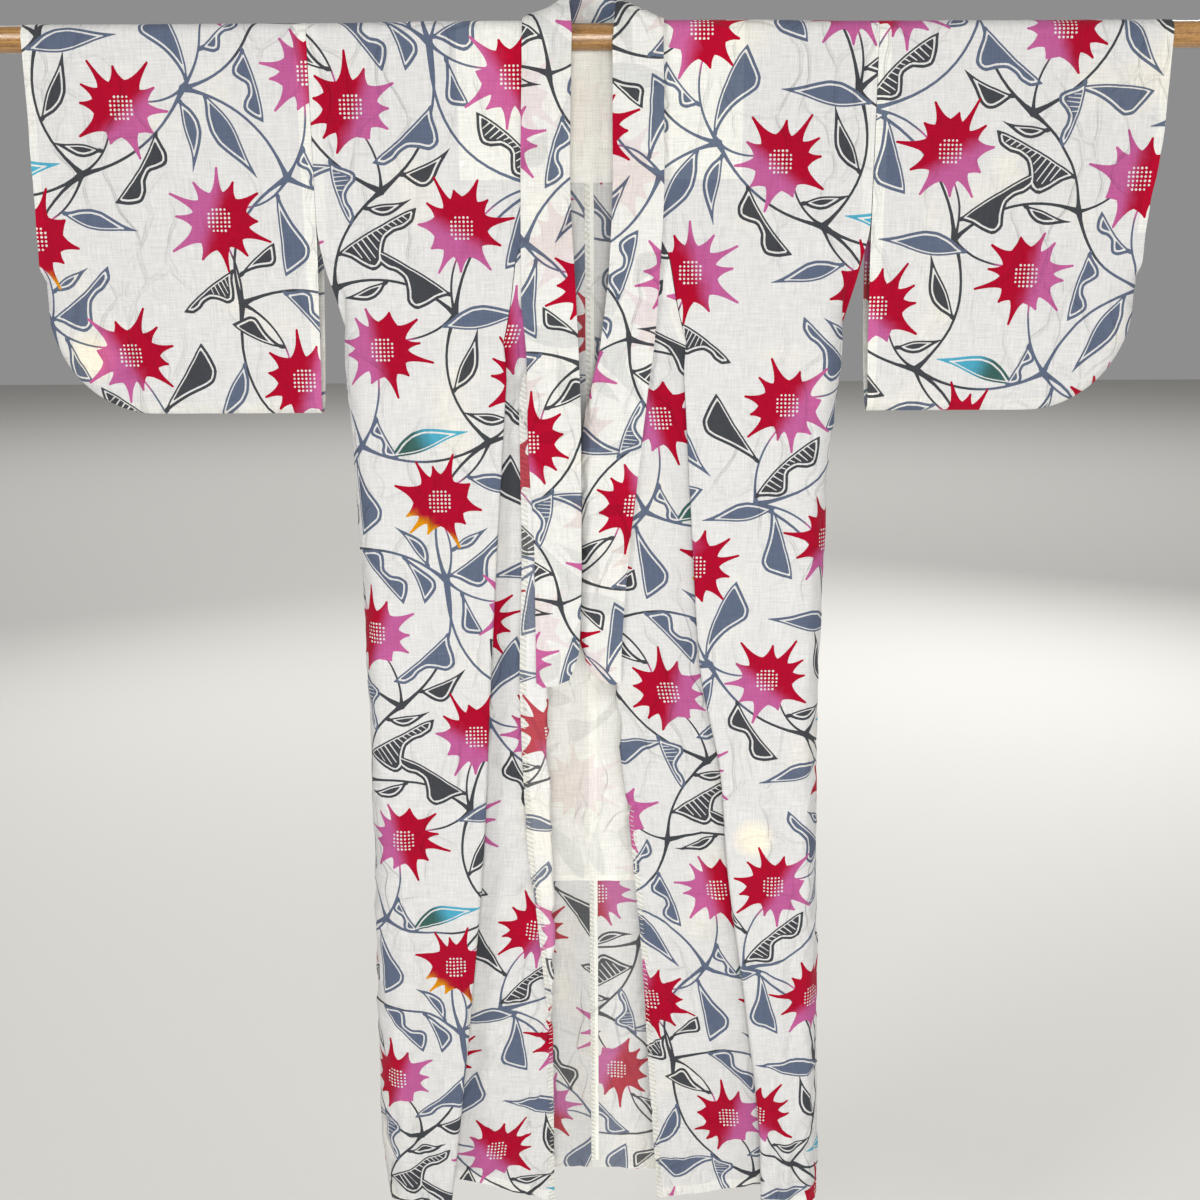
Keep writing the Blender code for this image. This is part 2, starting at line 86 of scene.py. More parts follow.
# the outer edge, the fold at the front, and how far the cloth goes on behind them
bodyShape = {
    "right": table(
        ("drop", "side", "fold", "tuck", "wrap"),
        (0.000, 0.3152, 0.0690, 0.0000, 0.0000),
        (0.195, 0.3150, 0.0690, 0.0000, 0.0000),
        (0.240, 0.3095, 0.0900, 0.0020, 0.0005),
        (0.290, 0.2990, 0.0955, 0.0060, 0.0040),
        (0.370, 0.2925, 0.1020, 0.0120, 0.0120),
        (0.500, 0.2870, 0.1120, 0.0180, 0.0180),
        (0.750, 0.2838, 0.1295, 0.0220, 0.0260),
        (0.950, 0.2865, 0.1420, 0.0240, 0.0300),
        (1.200, 0.2920, 0.1670, 0.0270, 0.0340),
        (1.380, 0.2958, 0.1880, 0.0290, 0.0360),
        (1.480, 0.2880, 0.2010, 0.0290, 0.0360),
    ),
    "left": table(
        ("drop", "side", "fold", "tuck", "wrap"),
        (0.000, 0.3152, 0.0690, 0.0000, 0.0000),
        (0.195, 0.3145, 0.0690, 0.0000, 0.0000),
        (0.240, 0.3070, 0.0870, 0.0020, 0.0005),
        (0.290, 0.2975, 0.0945, 0.0060, 0.0040),
        (0.370, 0.2885, 0.1035, 0.0120, 0.0120),
        (0.500, 0.2782, 0.1115, 0.0170, 0.0180),
        (0.720, 0.2763, 0.1265, 0.0200, 0.0250),
        (0.860, 0.2785, 0.1540, 0.0190, 0.0280),
        (0.970, 0.2825, 0.1630, 0.0190, 0.0300),
        (1.200, 0.2905, 0.1945, 0.0190, 0.0320),
        (1.380, 0.2975, 0.2150, 0.0190, 0.0340),
        (1.480, 0.3006, 0.2195, 0.0190, 0.0350),
    ),
}
# the free edge, and how much of it is turned over
okumiShape = {
    "right": table(
        ("drop", "edge", "turn"),
        (0.200, 0.0690, 0.0000),
        (0.300, 0.0700, 0.0000),
        (0.340, 0.0665, 0.0090),
        (0.400, 0.0650, 0.0230),
        (0.585, 0.0625, 0.0262),
        (0.760, 0.0615, 0.0325),
        (0.960, 0.0585, 0.0300),
        (1.030, 0.0575, 0.0227),
        (1.170, 0.0580, 0.0100),
        (1.250, 0.0600, 0.0000),
        (1.480, 0.0610, 0.0000),
    ),
    "left": table(
        ("drop", "edge", "turn"),
        (0.200, 0.0690, 0.0000),
        (0.300, 0.0620, 0.0000),
        (0.420, 0.0480, 0.0000),
        (0.520, 0.0360, 0.0000),
        (0.600, 0.0270, 0.0000),
        (0.700, 0.0225, 0.0100),
        (0.760, 0.0280, 0.0280),
        (0.840, 0.0320, 0.0250),
        (0.940, 0.0420, 0.0000),
        (1.110, 0.0569, 0.0000),
        (1.300, 0.0682, 0.0000),
        (1.480, 0.0800, 0.0000),
    ),
}
turnWay = {"right": -1.0, "left": 1.0}  # the right edge is turned to the front, the left one to the back
okumiHem = {"right": (1.440, 1.482), "left": (1.457, 1.478)}
# the sewn edge, the free edge, and how far that one leans back and slants up
collarShape = {
    "right": table(
        ("drop", "outer", "inner", "back", "rise"),
        (0.000, 0.0775, 0.0240, 0.0000, 0.000),
        (0.150, 0.0820, 0.0271, 0.0000, 0.000),
        (0.284, 0.0835, 0.0217, 0.0000, 0.000),
        (0.350, 0.0785, 0.0190, 0.0020, 0.000),
        (0.430, 0.0785, 0.0173, 0.0030, 0.000),
        (0.585, 0.0730, 0.0178, 0.0040, 0.000),
        (0.700, 0.0733, 0.0215, 0.0040, 0.004),
        (0.745, 0.0735, 0.0330, 0.0040, 0.009),
    ),
    "left": table(
        ("drop", "outer", "inner", "back", "rise"),
        (0.000, 0.0775, 0.0225, 0.0000, 0.000),
        (0.150, 0.0795, 0.0223, 0.0000, 0.000),
        (0.250, 0.0754, 0.0180, 0.0020, 0.000),
        (0.312, 0.0713, 0.0108, 0.0040, 0.000),
        (0.400, 0.0605, -0.0010, 0.0060, 0.000),
        (0.500, 0.0492, -0.0065, 0.0080, 0.000),
        (0.600, 0.0380, -0.0085, 0.0090, 0.000),
        (0.700, 0.0313, -0.0120, 0.0080, 0.006),
        (0.744, 0.0300, -0.0112, 0.0070, 0.018),
    ),
}
# round the neck, by the angle over the rod from front to back
neckShape = table(
    ("angle", "seam", "freeX", "freeY", "freeZ"),
    (0.0, 0.0775, 0.0235, -0.0190, 0.0000),
    (45.0, 0.0775, 0.0250, -0.0160, 0.0200),
    (90.0, 0.0770, 0.0270, -0.0050, 0.0370),
    (135.0, 0.0640, 0.0270, 0.0150, 0.0490),
    (157.5, 0.0420, 0.0180, 0.0290, 0.0535),
    (180.0, 0.0000, 0.0000, 0.0360, 0.0545),
)
neckCut = table(
    ("angle", "edge"),
    (0.0, 0.069),
    (90.0, 0.068),
    (112.5, 0.063),
    (135.0, 0.048),
    (157.5, 0.0),
)
# its inner and outer edges, and half of its thickness
sleeveShape = {
    "right": table(
        ("drop", "inner", "outer", "half"),
        (0.000, 0.3155, 0.6290, 0.0151),
        (0.100, 0.3155, 0.6305, 0.0158),
        (0.215, 0.3155, 0.6335, 0.0165),
        (0.300, 0.3180, 0.6350, 0.0145),
        (0.360, 0.3200, 0.6345, 0.0120),
        (0.412, 0.3225, 0.6345, 0.0100),
    ),
    "left": table(
        ("drop", "inner", "outer", "half"),
        (0.000, 0.3155, 0.6390, 0.0151),
        (0.100, 0.3155, 0.6385, 0.0158),
        (0.215, 0.3155, 0.6275, 0.0165),
        (0.300, 0.3170, 0.6270, 0.0145),
        (0.360, 0.3190, 0.6255, 0.0120),
        (0.412, 0.3220, 0.6250, 0.0100),
    ),
}
# where a section's lines stand when it hangs plain, as shares of its width
acrossFront = np.array(
    (0, 0.05, 0.09, 0.10, 0.115, 0.13, 0.14, 0.30, 0.46, 0.62, 0.78, 0.84, 0.89, 0.94, 1.0)
)
acrossOkumi = np.array((0, 0.08, 0.16, 0.24, 0.32, 0.43, 0.54, 0.65, 0.76, 0.81, 0.86, 0.90, 0.95, 1.0))
foldLine = 4  # the front's sharp fold
frontPlain, okumiPlain = (7, 11), (4, 8)  # the lines between which nothing is folded
halfRound = (0, 0.29, 1, 1.71, 2)  # how far back the lines of a rolled edge lie, in radii


def slopesOf(stops, values):
    # slopes at the stops of a smooth curve that never overshoots
    step = np.diff(stops, axis=-1)
    secant = np.diff(values, axis=-1) / step
    before, after = secant[..., :-1], secant[..., 1:]
    lean = 2 * step[..., 1:] + step[..., :-1]
    lead = step[..., 1:] + 2 * step[..., :-1]
    same = before * after > 0
    safeBefore, safeAfter = np.where(same, before, 1.0), np.where(same, after, 1.0)
    inner = np.where(same, (lean + lead) / (lean / safeBefore + lead / safeAfter), 0.0)
    return np.concatenate([secant[..., :1], inner, secant[..., -1:]], axis=-1)


def hermite(t, step, values, slopes, i):
    start = (1 + 2 * t) * (1 - t) ** 2 * values[..., i] + t * (1 - t) ** 2 * step * slopes[..., i]
    end = t * t * (3 - 2 * t) * values[..., i + 1] - t * t * (1 - t) * step * slopes[..., i + 1]
    return start + end


def read(rows, name, at):
    # one column of a table, read smoothly between its rows
    key = next(iter(rows))
    stops, values = rows[key], rows[name]
    secant = np.diff(values) / np.diff(stops)
    before, after = secant[:-1], secant[1:]
    both = np.where(before * after > 0, before + after, 1.0)
    inner = np.where(before * after > 0, 2 * before * after / both, 0.0)
    slopes = np.concatenate([secant[:1], inner, secant[-1:]])
    i = np.clip(np.searchsorted(stops, at, side="right") - 1, 0, len(stops) - 2)
    step = stops[i + 1] - stops[i]
    return hermite(np.clip((at - stops[i]) / step, 0.0, 1.0), step, values, slopes, i)


def readAll(rows, names, at):
    return [read(rows, name, at) for name in names.split()]


def ease(value, low, high):
    t = np.clip((value - low) / (high - low), 0.0, 1.0)
    return t * t * (3 - 2 * t)


def mix(a, b, share):
    return a + (b - a) * share


def shoulderRadius(distance):
    # the body lies closer to the rod past the end of the yoke lining
    return mix(robe["bodyRadius"], robe["liningRadius"], ease(distance, 0.175, 0.280))


def hang(name, distance, drop):
    depth = read(hangs, name, drop)
    thin = robe["bodyRadius"] - shoulderRadius(distance)
    return depth - np.sign(depth) * thin * (1 - ease(drop, 0.0, robe["slit"][0]))


def frontSection(side, drop):
    outline, fold, tuck, wrap = readAll(bodyShape[side], "side fold tuck wrap", drop)
    front, okumi, back = readAll(hangs, "front okumi back", drop)
    folded, closed = ease(drop, *robe["foldStarts"]), ease(drop, *robe["slit"])
    r = (mix(front, okumi, 0.45) - front) / 2
    roundIn = (1 - cos45) * r
    # the first lines turn under at the fold, below the collar
    distance = fold + (outline - fold) * acrossFront
    depth = np.full(len(distance), front)
    curlX = fold + np.array((tuck, (tuck + r) / 2, r, roundIn, 0, roundIn, r))
    curlY = front + np.array((2, 2, 2, 2 - 0.29, 1, 0.29, 0)) * r
    distance[:7] = mix(distance[:7], curlX, folded)
    depth[:7] = mix(depth[:7], curlY, folded)
    # the front goes on round the side seam to meet the back
    sideX = outline - np.array((0.022, 0.006, 0.0, 0.006, wrap))
    sideY = front + np.array((0.05, 0.28, 0.55, 0.90, 1.0)) * (back - front)
    distance[10:] = mix(distance[10:], sideX, closed)
    depth[10:] = mix(depth[10:], sideY, closed)
    distance[6:11] = np.linspace(distance[6], distance[10], 5)
    swell = robe["swell"] * ease(drop, 0.45, 1.35)
    depth[7:10] += swell * np.array((-0.6, 1.0, -0.8)) * (1 if side == "right" else -0.8)
    thin = robe["bodyRadius"] - shoulderRadius(distance)
    return distance, depth + thin * (1 - ease(drop, 0.0, robe["slit"][0]))


def backSection(side, drop, first):
    outline, wrap = readAll(bodyShape[side], "side wrap", drop)
    last = outline - wrap - 2 * robe["gap"] * ease(drop, *robe["slit"])
    distance = first + (last - first) * np.linspace(0.0, 1.0, len(acrossFront))
    phase = 0.4 if side == "right" else 1.3
    swell = robe["swell"] * ease(drop, 0.5, 1.4) * np.sin(2 * math.pi * distance / 0.135 + phase)
    swell = swell * ease(distance, 0.0, 0.05) * ease(last - distance, 0, 0.04)
    return distance, hang("back", distance, drop) + swell


def okumiSection(side, drop):
    bodyX, bodyY = frontSection(side, drop)
    along = np.array((bodyX[0] - bodyX[1], bodyY[0] - bodyY[1]))
    along /= np.linalg.norm(along)
    edge, turn = readAll(okumiShape[side], "edge turn", drop)
    turn, depthIn = max(turn, 0.0), read(hangs, "okumi", drop)
    folded, turned = ease(drop, *robe["foldStarts"]), ease(turn, 0.001, 0.009)
    gap = mix(0.0009, 0.0003, folded)
    startX, startY = bodyX[0] + gap * along[0], bodyY[0] + gap * along[1]
    distance = startX + (edge - startX) * acrossOkumi
    depth = mix(startY, depthIn, ease(acrossOkumi, 0.0, 0.5))
    r = (depthIn - bodyY[0]) / 2
    loopX = startX + np.array((0, 0.001 + cos45 * r, 0.001 + r, 0.001 + cos45 * r, 0))
    loopY = startY + np.array(halfRound) * r
    distance[:5], depth[:5] = mix(distance[:5], loopX, folded), mix(depth[:5], loopY, folded)
    distance[0], depth[0] = startX, startY
    roll = robe["edgeRoll"]
    roundIn = (1 - cos45) * roll
    rollX = edge + np.array((roll, roundIn, 0, roundIn, roll, max(turn, 2 * roll)))
    rollY = depthIn + np.array((*halfRound, 2.1)) * turnWay[side] * roll
    distance[8:], depth[8:] = mix(distance[8:], rollX, turned), mix(depth[8:], rollY, turned)
    distance[4:9] = np.linspace(distance[4], distance[8], 5)
    depth[4:9] = np.linspace(depth[4], depth[8], 5)
    return distance, depth


def lengthsAlong(points, least=0.0):
    # how far along its row of points each one lies
    step = np.maximum(np.linalg.norm(np.diff(points, axis=1), axis=2), least)
    return np.concatenate([np.zeros((len(points), 1)), np.cumsum(step, axis=1)], axis=1)


def fineSection(keys):
    # a smooth curve through each section's lines, the same number of points for every section
    stops = lengthsAlong(keys, 1e-7)
    q = np.linspace(0, keys.shape[1] - 1, (keys.shape[1] - 1) * robe["between"] + 1)
    i = np.minimum(q.astype(int), keys.shape[1] - 2)
    width = stops[:, i + 1] - stops[:, i]
    axes = [hermite(q - i, width, keys[..., k], slopesOf(stops, keys[..., k]), i) for k in range(3)]
    return np.stack(axes, axis=-1)


def normalsOf(points):
    normal = np.cross(np.gradient(points, axis=1), np.gradient(points, axis=0))
    return normal / np.maximum(np.linalg.norm(normal, axis=2, keepdims=True), 1e-12)


def raised(points, height):
    return points + normalsOf(points) * height[..., None]


def flatLine(u, v):
    # flat points from their two measures, either of which may be one number for them all
    return np.stack(np.broadcast_arrays(u, v), axis=1)


def creaseHeight(creases, u, v):
    height = 0.0
    for cu, cv, turn, length, width, depth, bend in zip(*creases.values()):
        c, s = math.cos(math.radians(turn)), math.sin(math.radians(turn))
        along = (u - cu) * c + (v - cv) * s
        across = (v - cv) * c - (u - cu) * s - bend * along * along / length
        height += depth * np.exp(-(across / width) ** 2 - (2 * along / length) ** 4)
    return height


def ruffled(u, v, seed, size):
    # slow unevenness of worn cotton, from a few crossing waves
    draw = np.random.default_rng(seed)
    height = 0.0
    for wave in (0.23, 0.15, 0.105, 0.071, 0.047, 0.034):
        turn, phase = draw.uniform(0, math.pi), draw.uniform(0, 2 * math.pi)
        bend = draw.uniform(-2.0, 2.0)
        path = u * math.cos(turn) + v * math.sin(turn) + bend * u * v
        height += wave / 0.23 * np.sin(2 * math.pi * path / wave + phase)
    return height * size / 2.5


def crumpled(u, v, seed, size, wave=0.075):
    # the short sharp marks that folding and storing leave in cotton
    draw = np.random.default_rng(seed)
    height = 0.0
    for _ in range(5):
        turn, phase, bend = draw.uniform(0, math.pi), draw.uniform(0, 6), draw.uniform(-3.0, 3.0)
        across = (u * math.cos(turn) + v * math.sin(turn) + bend * u * v) / (wave * draw.uniform(0.8, 1.5))
        along = (v * math.cos(turn) - u * math.sin(turn)) / (wave * draw.uniform(1.6, 3.0))
        ridge = (1 - np.abs(np.sin(math.pi * across + phase + 0.6 * np.sin(2 * math.pi * along)))) ** 4
        patch = np.sin(2 * math.pi * along + 1.7 * phase) * np.sin(math.pi * across * 0.37 + phase)
        height += ridge * ease(patch, 0.1, 0.8) * draw.choice((-1.0, 1.0))
    return height * size


def dented(u, v, seed, size):
    # uneven dents a few centimetres across, left by folding and wear
    draw = np.random.default_rng(seed)
    height = 0.0
    for wave in (0.082, 0.060, 0.046, 0.036, 0.029):
        turn, phase = draw.uniform(0, math.pi), draw.uniform(0, 2 * math.pi)
        along = u * math.cos(turn) + v * math.sin(turn)
        across = v * math.cos(turn) - u * math.sin(turn)
        bent = along + 0.35 * wave * np.sin(2 * math.pi * across / (1.7 * wave) + 2 * phase)
        patch = 0.5 + 0.5 * np.sin(2 * math.pi * across / (2.3 * wave) + 3 * phase)
        height += wave / 0.1 * np.sin(2 * math.pi * bent / wave + phase) * patch
    return height * size


def puckered(along, size, pitch, sway, rate):
    # the little waves that a seam's stitches draw up
    return size * np.sin(2 * math.pi * along / pitch + sway * np.sin(along * rate))


wear = {  # each piece's seeds and heights in metres, and its sharp marks' spacing
    "body": {"waves": (3, 0.001375), "marks": (31, 0.0014), "dents": (41, 0.0013)},
    "okumi": {"waves": (5, 0.0015), "marks": (33, 0.0030, 0.05), "dents": (43, 0.0024)},
    "sleeve": {"waves": (11, 0.0012), "marks": (31, 0.0012), "dents": (51, 0.0010)},
    "collar": {"waves": (8, 0.0006), "marks": (35, 0.0016, 0.045), "dents": (45, 0.0024)},
    "yoke": {"waves": (15, 0.0004), "dents": (55, 0.0014)},
    "seat": {"waves": (17, 0.0008), "marks": (37, 0.0014, 0.06), "dents": (47, 0.0012)},
    "allowance": {"waves": (19, 0.0006)},
}
reliefKinds = {"waves": ruffled, "marks": crumpled, "dents": dented}


def relief(piece, kind, u, v, side="right"):
    seed, *rest = wear[piece][kind]
    return reliefKinds[kind](u, v, seed + (side == "left"), *rest)  # the two sides differ


def gridPlace(cloth):
    # gives the function that takes flat points to where they hang
    u, v, points = cloth["u"], cloth["v"], cloth["points"]

    def place(flat):
        row = np.clip(np.searchsorted(v, flat[:, 1], side="right") - 1, 0, len(v) - 2)
        share = np.clip((flat[:, 1] - v[row]) / (v[row + 1] - v[row]), 0.0, 1.0)
        out = np.zeros((len(flat), 3))
        for each in np.unique(row):
            pick = np.nonzero(row == each)[0]
            for beside, weight in ((each, 1 - share[pick]), (each + 1, share[pick])):
                for k in range(3):
                    out[pick, k] += weight * np.interp(flat[pick, 0], u[beside], points[beside, :, k])
        return out

    return place


def hungPoints(side, distance, depth, drop):
    height = np.broadcast_to(-np.asarray(drop, float), np.shape(distance))
    return np.stack([sign[side] * distance, depth, height], axis=-1)


def overRod(side, distance, radius, angle):
    turn = math.radians(angle)
    reach = np.broadcast_to(radius, np.shape(distance))
    return hungPoints(side, distance, -reach * math.cos(turn), -reach * math.sin(turn))


def bodyCloth(side):
    keys, v = [], []
    drops = np.linspace(robe["hem"], 0.0, int(robe["hem"] / robe["rowStep"]) + 1)[:-1]
    for drop in drops:
        keys.append(hungPoints(side, *frontSection(side, drop), drop))
        v.append(-drop - quarterTurn)
    for angle in np.arange(0.0, 180.1, 7.5):
        first = max(read(neckCut, "edge", angle), robe["gap"] / 2)
        distance = first + (robe["sleeveSeam"] - first) * np.linspace(0.0, 1.0, len(acrossFront))
        keys.append(overRod(side, distance, shoulderRadius(distance), angle))
        v.append(robe["bodyRadius"] * math.radians(angle - 90))
    for drop in np.linspace(0.0, robe["backHem"], int(robe["backHem"] / robe["rowStep"]) + 1)[1:]:
        keys.append(hungPoints(side, *backSection(side, drop, robe["gap"] / 2), drop))
        v.append(drop + quarterTurn)
    points = fineSection(np.array(keys))
    u = lengthsAlong(points)
    # flat, the front is measured from its fold, and the rest from its first line
    rows = np.arange(len(v))
    columns = np.where(rows < len(drops), foldLine * robe["between"], 0)
    u += (np.abs(points[rows, columns, 0]) - u[rows, columns])[:, None]
    return {"u": u, "v": np.array(v), "points": points, "front": len(drops)}


def okumiCloth(side):
    drops = np.arange(1.486, robe["tipTop"], -robe["rowStep"])
    keys = np.array([hungPoints(side, *okumiSection(side, drop), drop) for drop in drops])
    points = fineSection(keys)
    return {"u": lengthsAlong(points), "v": -drops - quarterTurn, "points": points}


def collarMiddle():
    across = np.linspace(0.0, 1.0, 13)
    halves = []
    for side in ("right", "left"):
        rows = []
        end = collarShape[side]["drop"][-1]
        for drop in np.linspace(end, 0.0, 124)[:-1]:
            outer, inner, back, rise = readAll(collarShape[side], "outer inner back rise", drop)
            turned = ease(read(okumiShape[side], "turn", drop), 0.001, 0.009) if side == "right" else 0.0
            lift = robe["collarRadius"] - robe["bodyRadius"] + 0.0006 + 2.1 * robe["edgeRoll"] * turned
            depth = read(hangs, "okumi", drop) - lift + back * across**2
            if side == "left":  # its soft fold goes on behind the other side's edge
                under = ease(drop, 0.33, 0.47) * (1 - ease(drop, 0.66, 0.735))
                rolled = ease(across, 0.84, 1.0)
                depth = depth + 0.0065 * under * rolled**2
                inner = inner - 0.0120 * under
            rows.append(hungPoints(side, mix(outer, inner, across), depth, drop - rise * across**2))
        for angle in np.arange(0.0, 179.0, 7.5):
            turn, radius = math.radians(angle), robe["collarRadius"]
            out = read(neckShape, "seam", angle)
            seam = np.array((out, -radius * math.cos(turn), radius * math.sin(turn)))
            free = np.array(readAll(neckShape, "freeX freeY freeZ", angle))
            rows.append(mix(seam, free, across[:, None]) * (sign[side], 1.0, 1.0))
        halves.append(rows)
    seam = np.array((0.0, robe["collarRadius"], 0.0))
    free = np.array(readAll(neckShape, "freeX freeY freeZ", 180.0))
    return np.array(halves[0] + [mix(seam, free, across[:, None])] + halves[1][::-1])


def creaseRows(*rows):
    # soft folds and dents, one row each: where, how turned, how long, wide and deep, and how bent
    return table(("u", "v", "turn", "length", "width", "depth", "bend"), *rows)


bodyCreases = {
    "right": creaseRows(
        (0.205, -0.330, 96, 0.22, 0.016, 0.0016, 0.10),
        (0.250, -0.470, 84, 0.30, 0.014, 0.0018, -0.15),
        (0.165, -0.560, 92, 0.26, 0.010, 0.0012, 0.20),
        (0.225, -0.760, 88, 0.34, 0.013, -0.0015, 0.10),
        (0.190, -0.930, 97, 0.30, 0.015, 0.0020, -0.20),
        (0.245, -1.080, 86, 0.38, 0.014, 0.0019, 0.12),
        (0.205, -1.250, 93, 0.34, 0.013, -0.0018, -0.10),
        (0.265, -1.340, 82, 0.26, 0.012, 0.0021, 0.20),
        (0.240, -0.130, 68, 0.12, 0.010, 0.0008, 0.30),
        (0.150, -0.205, 30, 0.10, 0.008, 0.0007, 0.30),
        (0.180, 0.300, 95, 0.30, 0.015, 0.0015, 0.12),
        (0.090, 0.480, 86, 0.34, 0.014, 0.0018, -0.15),
        (0.215, 0.640, 92, 0.36, 0.013, -0.0013, 0.10),
        (0.060, 0.860, 89, 0.30, 0.012, 0.0014, 0.16),
        (0.150, 0.980, 84, 0.42, 0.015, 0.0020, 0.10),
        (0.220, 1.200, 95, 0.36, 0.013, 0.0018, -0.12),
        (0.080, 1.300, 91, 0.30, 0.012, -0.0014, 0.20),
        (0.230, 0.150, 60, 0.12, 0.010, 0.0008, 0.30),
    ),
    "left": creaseRows(
        (0.230, -0.290, 82, 0.20, 0.015, 0.0015, 0.15),
        (0.175, -0.440, 94, 0.28, 0.012, 0.0013, -0.10),
        (0.245, -0.600, 90, 0.32, 0.014, 0.0018, 0.14),
        (0.185, -0.720, 80, 0.24, 0.011, 0.0014, 0.25),
        (0.225, -0.880, 96, 0.34, 0.014, -0.0014, -0.15),
        (0.250, -1.060, 85, 0.36, 0.013, 0.0018, 0.10),
        (0.215, -1.210, 92, 0.34, 0.012, 0.0016, -0.18),
        (0.260, -1.370, 87, 0.22, 0.012, 0.0020, 0.14),
        (0.235, -0.110, 112, 0.12, 0.010, 0.0008, 0.30),
        (0.140, -0.190, 150, 0.10, 0.008, 0.0007, 0.30),
        (0.200, 0.270, 85, 0.26, 0.014, 0.0014, 0.14),
        (0.110, 0.430, 94, 0.32, 0.014, 0.0017, -0.12),
        (0.195, 0.700, 88, 0.36, 0.013, 0.0015, 0.10),
        (0.070, 0.780, 92, 0.28, 0.012, -0.0012, 0.18),
        (0.140, 1.060, 96, 0.40, 0.015, 0.0019, -0.10),
        (0.230, 1.150, 84, 0.34, 0.013, 0.0017, 0.14),
        (0.060, 1.250, 88, 0.30, 0.011, 0.0014, -0.20),
        (0.240, 0.140, 118, 0.12, 0.010, 0.0008, 0.30),
    ),
}
okumiCreases = {
    "right": creaseRows(
        (0.060, -0.560, 78, 0.22, 0.009, 0.0009, 0.20),
        (0.075, -0.820, 84, 0.26, 0.010, 0.0012, -0.15),
        (0.060, -1.040, 98, 0.30, 0.011, 0.0014, 0.12),
        (0.095, -1.230, 86, 0.30, 0.010, 0.0013, -0.14),
        (0.045, -1.330, 93, 0.24, 0.010, 0.0012, 0.20),
    ),
    "left": creaseRows(
        (0.050, -0.520, 100, 0.20, 0.009, 0.0009, 0.20),
        (0.085, -0.700, 66, 0.16, 0.008, 0.0012, 0.30),
        (0.070, -0.800, 58, 0.15, 0.008, -0.0010, 0.20),
        (0.100, -0.900, 80, 0.20, 0.009, 0.0011, -0.20),
        (0.060, -1.080, 92, 0.32, 0.011, 0.0014, 0.12),
        (0.100, -1.260, 84, 0.28, 0.010, 0.0013, 0.16),
    ),
}
sleeveCreases = creaseRows(
    (0.400, -0.200, 96, 0.24, 0.016, 0.0013, 0.15),
    (0.520, -0.260, 84, 0.22, 0.014, 0.0012, -0.20),
    (0.460, -0.355, 12, 0.14, 0.009, 0.0009, 0.25),
    (0.590, -0.310, 128, 0.11, 0.008, 0.0011, 0.20),
    (0.345, -0.300, 88, 0.16, 0.008, 0.0009, 0.10),
    (0.430, 0.190, 86, 0.24, 0.015, 0.0013, 0.15),
    (0.550, 0.240, 98, 0.22, 0.014, 0.0012, -0.18),
    (0.480, 0.350, 170, 0.14, 0.009, 0.0009, 0.25),
    (0.585, 0.320, 60, 0.11, 0.008, 0.0011, 0.20),
)
seatCreases = creaseRows(
    (-0.060, 0.700, 40, 0.17, 0.0065, 0.0024, 0.20),
    (0.030, 0.790, 130, 0.15, 0.0060, 0.0022, -0.20),
    (-0.010, 0.930, 22, 0.18, 0.0065, 0.0022, 0.10),
    (0.015, 0.665, 152, 0.12, 0.0055, 0.0018, 0.20),
    (-0.045, 0.860, 68, 0.14, 0.0060, 0.0018, -0.15),
)


def drapedBody(side):
    cloth = bodyCloth(side)
    u, v = cloth["u"], cloth["v"][:, None]
    drop = np.abs(v) - quarterTurn
    height = 1.2 * creaseHeight(bodyCreases[side], u, v) + relief("body", "waves", u, v, side)
    height += relief("body", "marks", u, v, side) * (1 + 0.4 * ease(drop, 0.5, 1.0))
    height += relief("body", "dents", u, v, side) * (0.3 + 0.7 * ease(drop, 0.35, 0.9))
    seam = np.exp(-((u - robe["sleeveSeam"]) / 0.012) ** 2) * (1 - ease(drop, 0.20, 0.26))
    height += puckered(v, 0.0004, 0.031, 3, 19) * seam
    calm = ease(drop, 0.03, 0.16)  # flat where the rod carries it
    columns = np.arange(u.shape[1])[None, :]
    isFront = (np.arange(len(u)) < cloth["front"])[:, None]
    between = robe["between"]
    free = np.where(isFront, ease(columns, foldLine * between, frontPlain[0] * between), 1.0)
    height *= calm * free * ease(u.shape[1] - 1 - columns, 0, 2 * between)
    height *= np.where(isFront, 1.0, ease(columns, 0, 1.5 * between))
    cloth["points"] = raised(cloth["points"], height * sign[side])
    return cloth


def drapedOkumi(side):
    cloth = okumiCloth(side)
    u, v = cloth["u"], cloth["v"][:, None]
    height = 1.3 * creaseHeight(okumiCreases[side], u, v)
    for kind in ("waves", "marks", "dents"):
        height += relief("okumi", kind, u, v, side)
    columns = np.arange(u.shape[1])[None, :]
    between = robe["between"]
    plainFrom = okumiPlain[0] * between
    height *= ease(columns, plainFrom, plainFrom + 2 * between) * ease(u.shape[1] - 1 - columns, 0, between)
    underCollar = 1 - 0.8 * (1 - ease(-v, 0.70, 0.80))
    height = np.where(height > 0, height * underCollar, height)
    cloth["points"] = raised(cloth["points"], height * -sign[side])
    return cloth


